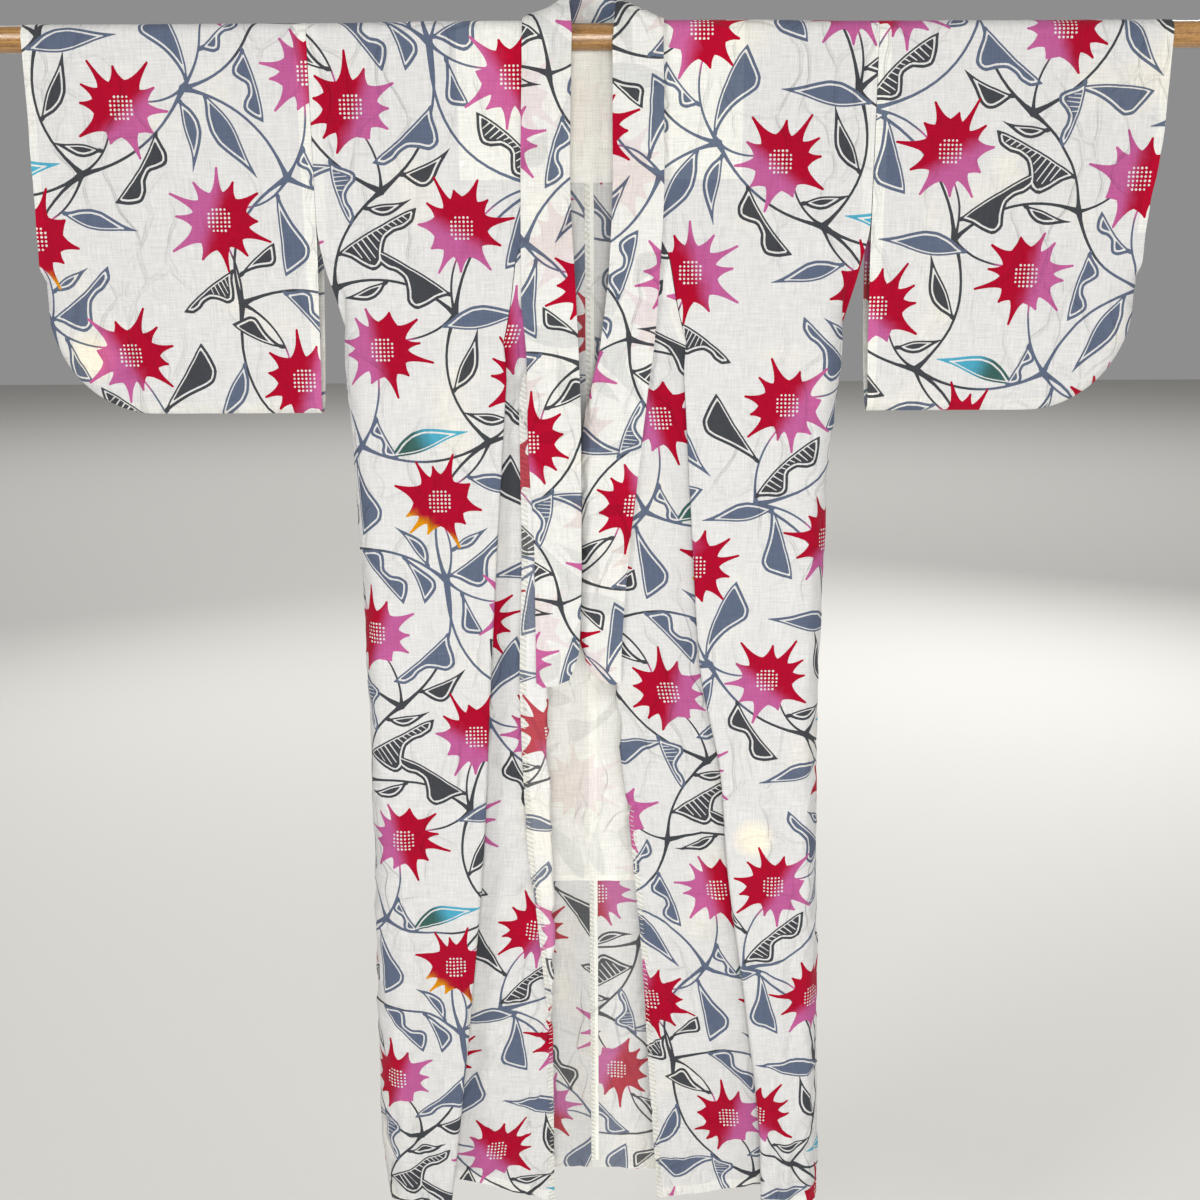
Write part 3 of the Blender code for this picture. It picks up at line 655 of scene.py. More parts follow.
def drapedCollar():
    middle = collarMiddle()
    v = lengthsAlong(middle[None, :, 0])[0]
    along = v[:, None]
    across = np.linspace(0.0, 1.0, middle.shape[1])[None, :]
    down = np.minimum(along, v[-1] - along)
    spread = across * 0.06  # about the band's width
    pucker = puckered(along, 0.00045, 0.034, 2.5, 11) * (1 - 0.6 * across)
    pucker += relief("collar", "waves", spread, along)
    pucker += np.abs(relief("collar", "marks", spread, along))
    pucker += np.maximum(relief("collar", "dents", spread, along), 0.0)
    pucker += 0.0006 * np.exp(-((across - 0.35) / 0.12) ** 2) * np.sin(2 * math.pi * along / 0.21)
    pucker = pucker * (0.35 + 0.65 * ease(down, 0.05, 0.4)) * ease(down, 0.0, 0.02)
    middle = raised(middle, pucker)
    normal = normalsOf(middle)
    out = middle[:, -1] - middle[:, -2]
    out /= np.linalg.norm(out, axis=1, keepdims=True)
    half = (0.0006 * ease(down, 0.0, 0.006) + 0.00025)[..., None]  # its two layers lie closer at the ends
    turns = [
        (middle[:, -1] + half[:, 0] * (math.cos(a) * normal[:, -1] + math.sin(a) * out))[:, None]
        for a in np.radians((36, 72, 108, 144))
    ]
    points = np.concatenate([middle + half * normal, *turns, (middle - half * normal)[:, ::-1]], axis=1)
    return {"u": lengthsAlong(points), "v": v, "points": points}


def roundRod(v, drop, depth):
    # over the rod while there is no drop, and at its own depth below
    turn = np.clip(v / robe["bodyRadius"], -math.pi / 2, math.pi / 2)
    radius = robe["liningRadius"]
    y = np.where(drop > 0, depth, radius * np.sin(turn))
    z = np.where(drop > 0, -drop, radius * np.cos(turn))
    return y, z


def sleevePlace(side):
    # the sleeve hangs so plainly that its drop and its distance out are its flat measures too
    shape = sleeveShape[side]
    deep, cornerRadius = robe["sleeveDrop"], robe["sleeveCorner"]

    def place(flat):
        x, v = flat[:, 0], flat[:, 1]
        drop = np.maximum(np.abs(v) - quarterTurn, 0.0)
        outer = read(shape, "outer", drop)
        pastSide = np.maximum(x - (outer - cornerRadius), 0.0) * ease(drop, *robe["cuff"])
        pastBottom = np.maximum(drop - (deep - cornerRadius), 0.0)
        fromCentre = np.hypot(pastSide, pastBottom)
        inside = np.maximum(cornerRadius - fromCentre, 0.0)
        t = np.clip(inside / 0.025, 0.0, 1.0)  # the two sides close up over the last 25 mm
        half = read(shape, "half", drop) * np.sqrt(1 - (1 - t) ** 2)
        height = creaseHeight(sleeveCreases, x, v) + relief("sleeve", "waves", x, v, side)
        height += relief("sleeve", "marks", x, v, side) + relief("sleeve", "dents", x, v, side)
        # the round corner is gathered into short radial puckers
        corner = np.exp(-((inside - 0.012) / 0.012) ** 2) * ease(fromCentre, 0.08, 0.11)
        height += 0.0019 * np.sin(np.arctan2(pastSide, pastBottom + 1e-9) * 26) * corner * (pastSide > 0.03)
        hem = np.exp(-((deep - drop) / 0.02) ** 2)
        height += puckered(x, 0.0004, 0.028, 2, 40) * hem
        height = height * ease(drop, 0.03, 0.12) * (0.25 + 0.75 * t) * ease(x, shape["inner"][0], 0.325)
        half = np.maximum(half + height, robe["shell"] * 0.62)
        y, z = roundRod(v, drop, np.sign(v) * half)
        return np.stack([sign[side] * x, y, z], axis=-1)

    return place


def srgb(code):
    parts = [int(code[i : i + 2], 16) / 255 for i in (1, 3, 5)]
    return tuple(p / 12.92 if p <= 0.04045 else ((p + 0.055) / 1.055) ** 2.4 for p in parts)


def opaque(code):
    return (*srgb(code), 1.0)


# the print: flowers, leaves and stems that repeat over the cloth
design = {
    "repeat": (0.38, 0.60),  # one bolt's width, and one screen's length
    "inks": {
        "crimson": "#C40031",
        "magenta": "#D86CAE",
        "orange": "#F8A600",
        "slate": "#6D7993",
        "charcoal": "#4D5056",
        "teal": "#46716B",
        "turquoise": "#5BC1E2",
    },
    "seed": 21,
    "knot": 0.46,  # where stems meet; this and what follows is in centimetres
    "stem": 0.29,
    "stemSwell": 0.50,  # how much thicker a stem is where it leaves a knot
    "stalk": (0.28, 0.52, 0.40),
    "stemRoom": 0.6,  # kept free round a stem
    "leafRoom": 0.72,
    "longLeaf": (7.4, 10.4),
    "shortLeaf": (4.8, 7.2),
    "tries": 4000,
    "longTries": 2200,  # the shorter leaves fill in after this many
}
petal = {  # shares of a flower's radius, except for what is in metres
    "longTips": (0.93, 1.20),
    "shortTips": (0.76, 0.92),
    "valleys": (0.55, 0.66),
    "blunt": 0.0013,  # half a tip's width, and how far it is rounded out, in metres
    "round": 0.0009,
    "dots": 6,  # in each row and column of the middle, without the corners
    "dotPitch": 0.0046,
    "dotSize": (0.0012, 0.0016),
}
leaf = {
    "inline": 0.0032,  # from a leaf's edge to its white line
    "inlineWidth": 0.0020,
    "flatShare": 0.62,  # the band is narrower on a leaf's flat side
    "hatchPitch": 0.065,  # shares of the leaf's length
    "hatchLean": (0.0, 0.017, 0.044, 0.034),
}
# what is printed over what
rank = {"stem": 1, "leaf": 2, "inline": 3, "core": 4, "hatch": 5, "flower": 6, "dot": 7}
ink = {name: np.array(srgb(code)) for name, code in design["inks"].items()}
bare = np.ones(3)
flowers = table(  # centimetres; lean is the way that the crimson fades out
    ("x", "y", "radius", "petals", "turn", "lean", "accent"),
    (7.0, 6.0, 5.2, 12, 8, -30, 0),
    (25.0, 3.0, 5.0, 11, 40, 200, 0),
    (16.5, 19.0, 5.0, 11, 20, 150, 1),
    (33.5, 21.0, 5.4, 12, 5, 20, 0),
    (5.5, 33.0, 5.0, 11, 30, 230, 0),
    (22.5, 36.5, 5.2, 12, 50, -10, 0),
    (34.5, 47.0, 5.0, 11, 15, 170, 0),
    (13.0, 50.0, 5.3, 12, 35, 300, 0),
)
junctions = (
    (16, 9.5), (31.5, 11.8), (25.5, 25.5), (10.5, 26), (14, 40.5),
    (28, 43.5), (36.5, 35), (3.6, 54.5), (22, 54),
)
# from, to, and how far the stem bows; a flower is its row's number after "f"
stems = (
    (0, 1, 0.16), (1, 2, -0.20), (2, 3, 0.14), (3, 4, -0.18), (4, 5, 0.15), (5, 8, -0.12), (6, 5, 0.16),
    (6, 2, -0.14), (8, 0, 0.16), (7, 0, -0.22), (7, 4, 0.14), (3, 0, 0.2), (6, 3, -0.12), (8, 1, -0.2),
    (0, "f0", 0.10), (1, "f1", -0.12), (8, "f1", 0.10), (0, "f2", 0.12), (3, "f2", -0.10), (1, "f3", 0.08),
    (2, "f3", -0.14), (3, "f4", 0.12), (4, "f5", -0.10), (2, "f5", 0.10), (5, "f6", -0.08), (7, "f7", 0.10),
    (4, "f7", -0.10), (6, "f6", 0.14), (7, "f0", 0.12), (6, "f4", -0.1),
)
leafSides = {  # half widths along a leaf, as shares of its length, on its full side and its flat side
    "along": (0.0, 0.08, 0.16, 0.26, 0.36, 0.46, 0.56, 0.66, 0.76, 0.88, 1.0),
    "broad": (
        (0.02, 0.10, 0.20, 0.30, 0.335, 0.31, 0.24, 0.16, 0.10, 0.05, 0.004),
        (0.02, 0.03, 0.04, 0.05, 0.055, 0.05, 0.045, 0.035, 0.025, 0.015, 0.004),
    ),
    "winged": (
        (0.02, 0.10, 0.24, 0.345, 0.33, 0.19, 0.105, 0.095, 0.12, 0.11, 0.006),
        (0.02, 0.03, 0.04, 0.045, 0.05, 0.05, 0.045, 0.045, 0.04, 0.03, 0.004),
    ),
    "waved": (
        (0.02, 0.11, 0.21, 0.245, 0.18, 0.095, 0.11, 0.20, 0.235, 0.16, 0.006),
        (0.02, 0.03, 0.035, 0.04, 0.045, 0.045, 0.045, 0.04, 0.035, 0.025, 0.004),
    ),
    "hatchet": (
        (0.02, 0.035, 0.06, 0.10, 0.15, 0.215, 0.285, 0.33, 0.31, 0.18, 0.006),
        (0.02, 0.03, 0.04, 0.045, 0.05, 0.05, 0.045, 0.045, 0.04, 0.03, 0.004),
    ),
    "slim": (
        (0.02, 0.06, 0.11, 0.15, 0.175, 0.175, 0.15, 0.115, 0.075, 0.035, 0.004),
        (0.02, 0.04, 0.06, 0.08, 0.09, 0.085, 0.07, 0.05, 0.03, 0.015, 0.004),
    ),
}


def flat(colour):
    # an ink is a first colour, then colours that come in along a direction between two distances
    return [(colour, 0.0, 0.0, 0.0, 1.0)]


def faded(start, end, middle, way, low, high):
    c, s = math.cos(math.radians(way)), math.sin(math.radians(way))
    base = middle[0] * c + middle[1] * s
    return flat(start) + [(end, c, s, base + low, base + high)]


def shapeOf(outline, kind, colour):
    return {"outline": outline, "rank": rank[kind], "ink": colour}


def rounded(x, y, size, sides):
    angles = np.arange(sides) * math.pi / (sides / 2)
    return [(x + size * math.cos(a), y + size * math.sin(a)) for a in angles]


def curve(start, pull, end, count):
    t = np.linspace(0.0, 1.0, count)[:, None]
    return (1 - t) ** 2 * np.array(start) + 2 * t * (1 - t) * np.array(pull) + t * t * np.array(end)


def flowerShapes(x, y, radius, petals, turn, lean, accent, draw):
    # a round blot that throws out blunt unequal petals, with rounded valleys between them
    count = int(petals)
    steps = draw.uniform(0.62, 1.38, count)
    angles = math.radians(turn) + 2 * math.pi * np.cumsum(steps) / steps.sum()
    longer = np.arange(count) % 2 == 0
    long, short = (draw.uniform(*petal[name], count) for name in ("longTips", "shortTips"))
    tips = radius * np.where(longer, long, short)
    spans = (np.roll(angles, -1) - angles) % (2 * math.pi)
    valleys = angles + spans * draw.uniform(0.42, 0.58, count)
    depths = radius * draw.uniform(*petal["valleys"], count)

    def at(reach, angle):
        return x + reach * math.cos(angle), y + reach * math.sin(angle)

    outline = []
    for i in range(count):
        blunt = petal["blunt"] / tips[i]
        for valley, way in ((i - 1, -1), (i, 1)):
            away = (valleys[valley] - angles[i] + math.pi) % (2 * math.pi) - math.pi
            foot, tip = at(depths[valley], angles[i] + away), at(tips[i], angles[i] + way * blunt)
            side = curve(foot, at(depths[valley] * 1.13, angles[i] + 0.30 * away), tip, 6)
            outline += [tuple(p) for p in (side[:-1] if way < 0 else side[:0:-1])]
            if way < 0:
                outline += [tuple(side[-1]), at(tips[i] + petal["round"], angles[i])]
    wash = faded(ink["crimson"], ink["magenta"], (x, y), lean, -0.05 * radius, 0.32 * radius)
    if accent:
        wash = faded(ink["crimson"], ink["orange"], (x, y), lean + 150, 0.50 * radius, 0.66 * radius)
    shapes = [shapeOf(outline, "flower", wash)]
    last = petal["dots"] - 1
    for row in range(last + 1):
        for column in range(last + 1):
            if row in (0, last) and column in (0, last):
                continue
            dx, dy = (petal["dotPitch"] * (place - last / 2) for place in (column, row))
            dot = rounded(x + dx, y + dy, draw.uniform(*petal["dotSize"]), 6)
            shapes.append(shapeOf(dot, "dot", flat(bare)))
    return shapes


def spine(base, way, length, lean, t, off=0.0):
    # a point beside a leaf's bent middle line
    t, off = np.asarray(t, float), np.asarray(off, float)
    slope = 2 * lean * t
    norm = np.sqrt(1 + slope * slope)
    along, across = t * length - off * slope / norm, lean * length * t * t + off / norm
    c, s = math.cos(way), math.sin(way)
    return np.stack([base[0] + along * c - across * s, base[1] + along * s + across * c], axis=-1)


def leafShapes(base, way, length, kind, side, colour, hatched, lean):
    # a leaf with a white line inside its edge, and white hatching on some
    stops = leafSides["along"]
    full, thin = (table(("t", "w"), *zip(stops, np.array(w) * length)) for w in leafSides[kind])
    nearby = np.linspace(-1.0, 1.0, 11)

    def movedIn(edge, t, inset):
        # the line that keeps an even distance from one side's edge
        s = np.clip(t[:, None] + nearby * inset / length, 0.0, 1.0)
        return (read(edge, "w", s) - inset * np.sqrt(1 - nearby**2)).min(axis=1)

    def ring(t, up, down):
        along = np.concatenate([t, t[::-1]])
        return spine(base, way, length, lean, along, np.concatenate([up, -down[::-1]]) * side)

    def inner(inset, part, colour):
        # one ring or more, since a leaf's narrow neck can part its inside in two
        t = np.linspace(inset / length, 1 - inset / length, 60)
        up, down = movedIn(full, t, inset), movedIn(thin, t, inset * leaf["flatShare"])
        wide = np.flatnonzero(up + down > 0.0005)
        rings = []
        for run in np.split(wide, np.flatnonzero(np.diff(wide) > 1) + 1):
            if len(run) > 4:
                pick = run[np.linspace(0, len(run) - 1, max(6, int(len(run) / 2.6))).astype(int)]
                rings.append(shapeOf(ring(t[pick], up[pick], down[pick]), part, colour))
        return rings

    whole = np.linspace(0.0, 1.0, 27)
    shapes = [shapeOf(ring(whole, read(full, "w", whole), read(thin, "w", whole)), "leaf", colour)]
    core = leaf["inline"] + leaf["inlineWidth"]
    shapes += inner(leaf["inline"], "inline", flat(bare)) + inner(core, "core", colour)
    if hatched:
        for q in np.arange(0.16, 0.86, leaf["hatchPitch"]):
            nearEnd = np.array((q, q + 0.03))
            reach = movedIn(full, nearEnd, core)[1] + 0.0006
            foot = -movedIn(thin, nearEnd, core * leaf["flatShare"])[0] - 0.0006
            if reach - foot < 0.006:
                continue
            stroke = foot + (reach - foot) * np.array((0.0, 0.0, 0.8, 0.8))
            outline = spine(base, way, length, lean, q + np.array(leaf["hatchLean"]), stroke * side)
            shapes.append(shapeOf(outline, "hatch", flat(bare)))
    return shapes


def bowed(start, end, bow, count):
    start, end = np.array(start, float), np.array(end, float)
    t = np.linspace(0.0, 1.0, count)[:, None]
    side = np.array((start[1] - end[1], end[0] - start[0]))
    return mix(start, end, t) + side * bow * 4 * t * (1 - t)


def strokeShape(path, widths, colour):
    ahead = np.gradient(path, axis=0)
    ahead /= np.linalg.norm(ahead, axis=1, keepdims=True)
    off = np.stack([-ahead[:, 1], ahead[:, 0]], axis=1) * widths[:, None] / 2
    return shapeOf(np.concatenate([path + off, (path - off)[::-1]]), "stem", colour)


def inkAt(x, y):
    # the stems and leaves change from charcoal to slate in drifts, as their screens overlap
    width, height = (100 * side for side in design["repeat"])
    drift = math.sin(2 * math.pi * x / width + 2.2 * math.sin(2 * math.pi * y / height))
    return ink["charcoal"] if drift > 0.15 else ink["slate"]


span = 100 * np.array(design["repeat"])
taken = []  # circles that a leaf has to keep out of, unless it grows on their owner
growth = {  # how leaves grow; angles are in degrees
    "fork": (25, 62),  # between a leaf and its stem
    "backward": 0.35,  # the share of leaves that lean back along the stem
    "backFork": (35, 50),
    "bend": (-0.36, 0.20),
    "bud": 0.03,  # the chance of the one leaf with a turquoise end
    "hatched": 0.36,  # the share of the longer leaves that are hatched
    "longer": 6.0,  # centimetres
    "kinds": ("broad", "winged", "waved", "slim", "hatchet", "winged", "waved", "hatchet", "slim"),
}


def keepOff(points, reach, owner):
    taken.extend((*point, reach, owner) for point in points)


def clear(points, owner):
    circles = np.array(taken)
    away = points[:, None] - circles[:, :2]
    away -= span * np.round(away / span)
    near = np.hypot(away[..., 0], away[..., 1]) < circles[:, 2]
    return not near[:, circles[:, 3] != owner].any()


def nearest(origin, point):
    # the repeat of a point that is nearest to the origin
    away = np.array(point, float) - origin
    return origin + away - span * np.round(away / span)


def drawStems(heads):
    shapes, paths = [], []
    for i, (start, end, bow) in enumerate(stems):
        a = np.array(junctions[start], float)
        toFlower = isinstance(end, str)
        b = nearest(a, heads[int(end[1:])] if toFlower else junctions[end])
        if toFlower:
            b = a + (b - a) * (1 - 0.48 * flowers["radius"][int(end[1:])] / np.linalg.norm(b - a))
        path = bowed(a, b, bow, 15)
        t = np.linspace(0.0, 1.0, 15)
        swell = design["stemSwell"] * np.exp(-t / 0.07)
        way = math.degrees(math.atan2(*(b - a)[::-1]))
        if toFlower:
            width = design["stem"] + swell - 0.09 * t
            wash = faded(inkAt(*a), ink["magenta"], path[-4] * 0.01, way, -0.004, 0.008)
        else:
            width = design["stem"] + (swell + design["stemSwell"] * np.exp(-(1 - t) / 0.07))
            reach = np.linalg.norm(b - a) * 0.01
            wash = faded(inkAt(*a), inkAt(*b), a * 0.01, way, 0.4 * reach, 0.6 * reach)
        shapes.append(strokeShape(path * 0.01, width * 0.01, wash))
        paths.append(path)
        keepOff(path[1:-1:2], design["stemRoom"], i)
    for x, y in junctions:
        knot = np.array(rounded(x, y, design["knot"], 8))
        shapes.append(shapeOf(knot * 0.01, "stem", flat(inkAt(x, y))))
    return shapes, paths


def drawLeaves(paths, draw):
    # leaves grow from the stems wherever there is room, and each stretch of stem has one at most
    shapes, used, buds = [], set(), 0
    for attempt in range(design["tries"]):
        number = attempt % len(paths)
        path = paths[number]
        place = draw.integers(1, 12)
        ahead = path[place + 1] - path[place]
        side = 1 if draw.random() < 0.5 else -1
        way = math.atan2(ahead[1], ahead[0]) + side * math.radians(draw.uniform(*growth["fork"]))
        if draw.random() < growth["backward"]:
            way += math.pi - 2 * side * math.radians(draw.uniform(*growth["backFork"]))
        length = draw.uniform(*design["longLeaf" if attempt < design["longTries"] else "shortLeaf"])
        kind = growth["kinds"][draw.integers(len(growth["kinds"]))]
        lean, bud = draw.uniform(*growth["bend"]) * side, draw.random() < growth["bud"]
        hatched = draw.random() < growth["hatched"] and length > growth["longer"]
        if (number, place // 4) in used:
            continue
        start = path[place] + 0.35 * np.array((math.cos(way), math.sin(way)))
        stops = np.array((0.16, 0.26, 0.36, 0.46, 0.56, 0.66, 0.76))
        widths = np.interp(stops, leafSides["along"], leafSides[kind][0]) * length * side
        body = np.concatenate([
            spine(start, way, length, lean, (0.16, 0.32, 0.5, 0.68, 0.85, 1.0)),
            spine(start, way, length, lean, stops, widths),
            spine(start, way, length, lean, (0.3, 0.5), -0.07 * length * side),
        ])
        if not clear(body, number):
            continue
        used.add((number, place // 4))
        keepOff(body, design["leafRoom"], 100 + attempt)
        colour = inkAt(*body[2])
        wash = flat(colour)
        if bud and buds < 1:
            kind, hatched, buds = "slim", False, buds + 1
            ends = (0.003 * length, 0.006 * length)
            wash = faded(ink["teal"], ink["turquoise"], start * 0.01, math.degrees(way), *ends)
        stalk = bowed(path[place], start + 1.2 * (start - path[place]), 0.0, 3)
        shapes.append(strokeShape(stalk * 0.01, np.array(design["stalk"]) * 0.01, flat(colour)))
        shapes += leafShapes(start * 0.01, way, length * 0.01, kind, side, wash, hatched, lean)
    return shapes


def drawDesign():
    draw = np.random.default_rng(design["seed"])
    heads = np.stack([flowers["x"], flowers["y"]], axis=1)
    for head, radius in zip(heads, flowers["radius"]):
        keepOff([head], radius * 1.02, -1)
    shapes, paths = drawStems(heads)
    shapes += drawLeaves(paths, draw)
    for x, y, radius, *rest in zip(*flowers.values()):
        shapes += flowerShapes(x * 0.01, y * 0.01, radius * 0.01, *rest, draw)
    for shape in shapes:
        points = np.array(shape["outline"])
        shape["outline"], shape["low"], shape["high"] = points, points.min(axis=0), points.max(axis=0)
    leaves = sum(shape["rank"] == rank["leaf"] for shape in shapes)
    print("design drawn:", len(heads), "flowers and", leaves, "leaves in a repeat")
    return shapes


motifs = drawDesign()


def printedOver(low, high, offset):
    # every copy of the design's shapes that reaches into this stretch of cloth
    found = []
    repeat = np.array(design["repeat"])
    for shape in motifs:
        first = np.floor((low - offset - shape["high"]) / repeat).astype(int) + 1
        last = np.ceil((high - offset - shape["low"]) / repeat).astype(int) - 1
        for i in range(first[0], last[0] + 1):
            for j in range(first[1], last[1] + 1):
                found.append((shape, offset + repeat * (i, j)))
    return found


def spaced(loop):
    # drops points that all but touch the one before
    return loop[np.linalg.norm(loop - np.roll(loop, 1, axis=0), axis=1) > 2e-5]


def outlineOf(cloth):
    u, v = cloth["u"], cloth["v"]
    right, left = flatLine(u[:, -1], v), flatLine(u[:, 0], v)
    top, bottom = flatLine(u[-1], v[-1]), flatLine(u[0], v[0])
    return spaced(np.concatenate([bottom[::3], right[1:-1], top[::-3], left[-2:0:-1]]))


def gridOver(across, down, step):
    # evenly spaced flat points
    return np.stack(np.meshgrid(np.arange(*across, step), np.arange(*down, step)), axis=-1).reshape(-1, 2)


def stepped(outline, step):
    # adds points along the long sides of an outline
    loop = []
    for start, end in zip(outline, np.roll(outline, -1, axis=0)):
        count = max(1, math.ceil(np.linalg.norm(end - start) / step))
        loop += [mix(start, end, i / count) for i in range(count)]
    return np.array(loop)


def inside(points, order, loop):
    # which of these points, sorted across, lie in a closed outline
    low, high = loop.min(axis=0), loop.max(axis=0)
    near = order[np.searchsorted(points[order, 0], low[0]) : np.searchsorted(points[order, 0], high[0])]
    near = near[(points[near, 1] >= low[1]) & (points[near, 1] <= high[1])]
    x, y = points[near, 0][:, None], points[near, 1][:, None]
    ax, ay = loop[:, 0][None, :], loop[:, 1][None, :]
    bx, by = np.roll(ax, -1, axis=1), np.roll(ay, -1, axis=1)
    crosses = (ay > y) != (by > y)
    rise = np.where(crosses, by - ay, 1.0)
    return near[(crosses & (x < ax + (y - ay) * (bx - ax) / rise)).sum(axis=1) % 2 == 1]


def dyeInto(colours, flatPoints, corners, prints, wearing, share):
    # the dye that each triangle takes from the print over it
    for i in np.unique(wearing[wearing >= 0]):
        shape, shift = prints[i]
        members = np.nonzero(wearing == i)[0]
        where = flatPoints[corners[members]] - shift
        colour = np.broadcast_to(shape["ink"][0][0], where.shape[:2] + (3,)).copy()
        for tint, gx, gy, lowEnd, highEnd in shape["ink"][1:]:
            along = where[..., 0] * gx + where[..., 1] * gy
            colour = mix(colour, tint, ease(along, lowEnd, highEnd)[..., None])
        colours[members, :, :3] *= mix(bare, colour, share)


def addObject(name, data):
    added = bpy.data.objects.new(name, data)
    bpy.context.scene.collection.objects.link(added)
    return added


def meshPiece(name, points, faces, materials):
    # a smooth mesh with its materials, which is left as the one selected object
    mesh = bpy.data.meshes.new(name)
    mesh.from_pydata(points.tolist(), [], faces)
    mesh.shade_smooth()
    for material in materials:
        mesh.materials.append(material)
    piece = addObject(name, mesh)
    bpy.ops.object.select_all(action="DESELECT")
    piece.select_set(True)
    bpy.context.view_layer.objects.active = piece
    return piece


def makeSheet(name, place, outline, points, lines, bands, materials, flip, offset=None, ghost=None):
    # one piece of cloth: its outline, print and doubled bands are cut together when flat, then hung;
    # a ghost is the print of the layer behind, which shows through faintly
    verts = [Vector(p) for p in outline] + [Vector(p) for p in points]
    edges = []
    for line in lines:
        edges += [(len(verts) + i, len(verts) + i + 1) for i in range(len(line) - 1)]
        verts += [Vector(p) for p in line]
    low, high = outline.min(axis=0), outline.max(axis=0)
    prints = printedOver(low, high, np.array(offset)) if offset else []
    prints.sort(key=lambda pair: pair[0]["rank"])
    ghosts = printedOver(low, high, np.array(ghost[:2])) if ghost else []
    ghosts = [pair for pair in ghosts if pair[0]["rank"] in (rank["leaf"], rank["flower"])]
    bands = [(layers, stepped(loop, 0.004)) for layers, loop in bands]
    loops = [loop for _, loop in bands] + [shape["outline"] + shift for shape, shift in prints + ghosts]
    for loop in loops:
        edges += [(len(verts) + i, len(verts) + (i + 1) % len(loop)) for i in range(len(loop))]
        verts += [Vector(p) for p in loop]
    whole = [list(range(len(outline)))]
    cut, _, triangles, _, _, sources = delaunay_2d_cdt(verts, edges, whole, 1, 1e-6)
    corners = np.array([face for face, source in zip(triangles, sources) if source and len(face) == 3])
    used, corners = np.unique(corners, return_inverse=True)
    corners = corners.reshape(-1, 3)
    flatPoints = np.array([cut[i] for i in used])
    middles = flatPoints[corners].mean(axis=1)
    order = np.argsort(middles[:, 0])
    colours = np.ones((len(corners), 3, 4))
    colours[:, :, 3] = 0.0
    for layers, loop in bands:
        members = inside(middles, order, loop)
        colours[members, :, 3] = np.maximum(colours[members, :, 3], layers)
    for layer, share in ((prints, 1.0), (ghosts, ghost[2] if ghost else 0.0)):
        wearing = np.full(len(corners), -1)
        for i, (shape, shift) in enumerate(layer):
            wearing[inside(middles, order, shape["outline"] + shift)] = i
        dyeInto(colours, flatPoints, corners, layer, wearing, share)
    if flip:
        corners, colours = corners[:, ::-1], colours[:, ::-1]
    piece = meshPiece(name, place(flatPoints), corners.tolist(), materials)
    flatMap = piece.data.uv_layers.new(name="cloth")
    flatMap.data.foreach_set("uv", flatPoints[corners].astype(np.float32).ravel())
    dye = piece.data.color_attributes.new("dye", "FLOAT_COLOR", "CORNER")
    dye.data.foreach_set("color", colours.astype(np.float32).ravel())
    wall = piece.modifiers.new("Wall", "SOLIDIFY")
    wall.thickness = robe["shell"]
    wall.offset = 0.0
    wall.material_offset = len(materials) - 1
    bpy.ops.object.modifier_apply(modifier=wall.name)
    piece.data.set_sharp_from_angle(angle=math.radians(50))
    print(name, len(piece.data.polygons), "faces")
    return piece


def link(material, source, output, target, socket):
    material.node_tree.links.new(source.outputs[output], target.inputs[socket])


def addNode(material, kind, settings=None, links=None):
    # one node with its settings and links; a link comes from a node's first output, or (node, output)
    node = material.node_tree.nodes.new("ShaderNode" + kind)
    for name, value in (settings or {}).items():
        if isinstance(name, int) or name in node.inputs:
            node.inputs[name].default_value = value
        else:
            setattr(node, name, value)
    for name, source in (links or {}).items():
        link(material, *(source if isinstance(source, tuple) else (source, 0)), node, name)
    return node


def newMaterial(name, settings):
    material = bpy.data.materials.new(name)
    material.use_nodes = True
    shader = material.node_tree.nodes["Principled BSDF"]
    for key, value in settings.items():
        shader.inputs[key].default_value = value
    return material, shader


cotton = {
    "finish": {
        "Roughness": 0.9,
        "IOR": 1.46,
        "Specular IOR Level": 0.12,
        "Sheen Weight": 0.04,
        "Sheen Roughness": 0.5,
    },
    "thin": "#C6C5C3",  # one layer, a little grey where the dark shows through
    "thinInside": "#D1D0CD",  # its inner face, which some light reaches through the cloth
    "double": "#D5D4CD",
    "lining": "#EDECE3",
    "worn": "#E6DDC4",
    "thread": 0.0007,  # real threads are 0.35 mm apart, too fine to show, so two are drawn as one
    "threadRun": 0.022,
    "slub": 0.0013,  # the thicker places in the yarn, and how far they run
    "slubRun": 0.034,
    "stains": (((0.196, -0.047, -0.940), 0.030), ((-0.585, -0.012, -0.345), 0.034)),
    "creaseSize": (0.040, 0.085),  # of the flat facets between creases, across and along the cloth
    "creaseBend": 0.060,  # how far the creases wander
    "creaseDepth": 0.0015,
    "creaseWidth": 0.07,  # the part of a facet that its edge takes up
    "pulls": 54.0,  # the puffs between whipping stitches, 6.5 mm apart
}


def weaveHeight(material, flatMap):
    # fine threads and thicker slubs, each running both ways
    layers = []
    for width, run in ((cotton["thread"], cotton["threadRun"]), (cotton["slub"], cotton["slubRun"])):
        ways = []
        for scale in ((1 / width, 1 / run, 1.0), (1 / run, 1 / width, 1.0)):
            spread = addNode(material, "Mapping", {"Scale": scale}, {"Vector": flatMap})
            settings = {"Scale": 1.0, "Detail": 2.0, "Roughness": 0.6}
            ways.append(addNode(material, "TexNoise", settings, {"Vector": spread}))
        layers.append(addNode(material, "Math", {"operation": "ADD"}, {0: ways[0], 1: ways[1]}))
    return addNode(material, "Math", {"operation": "ADD"}, {0: layers[0], 1: layers[1]})


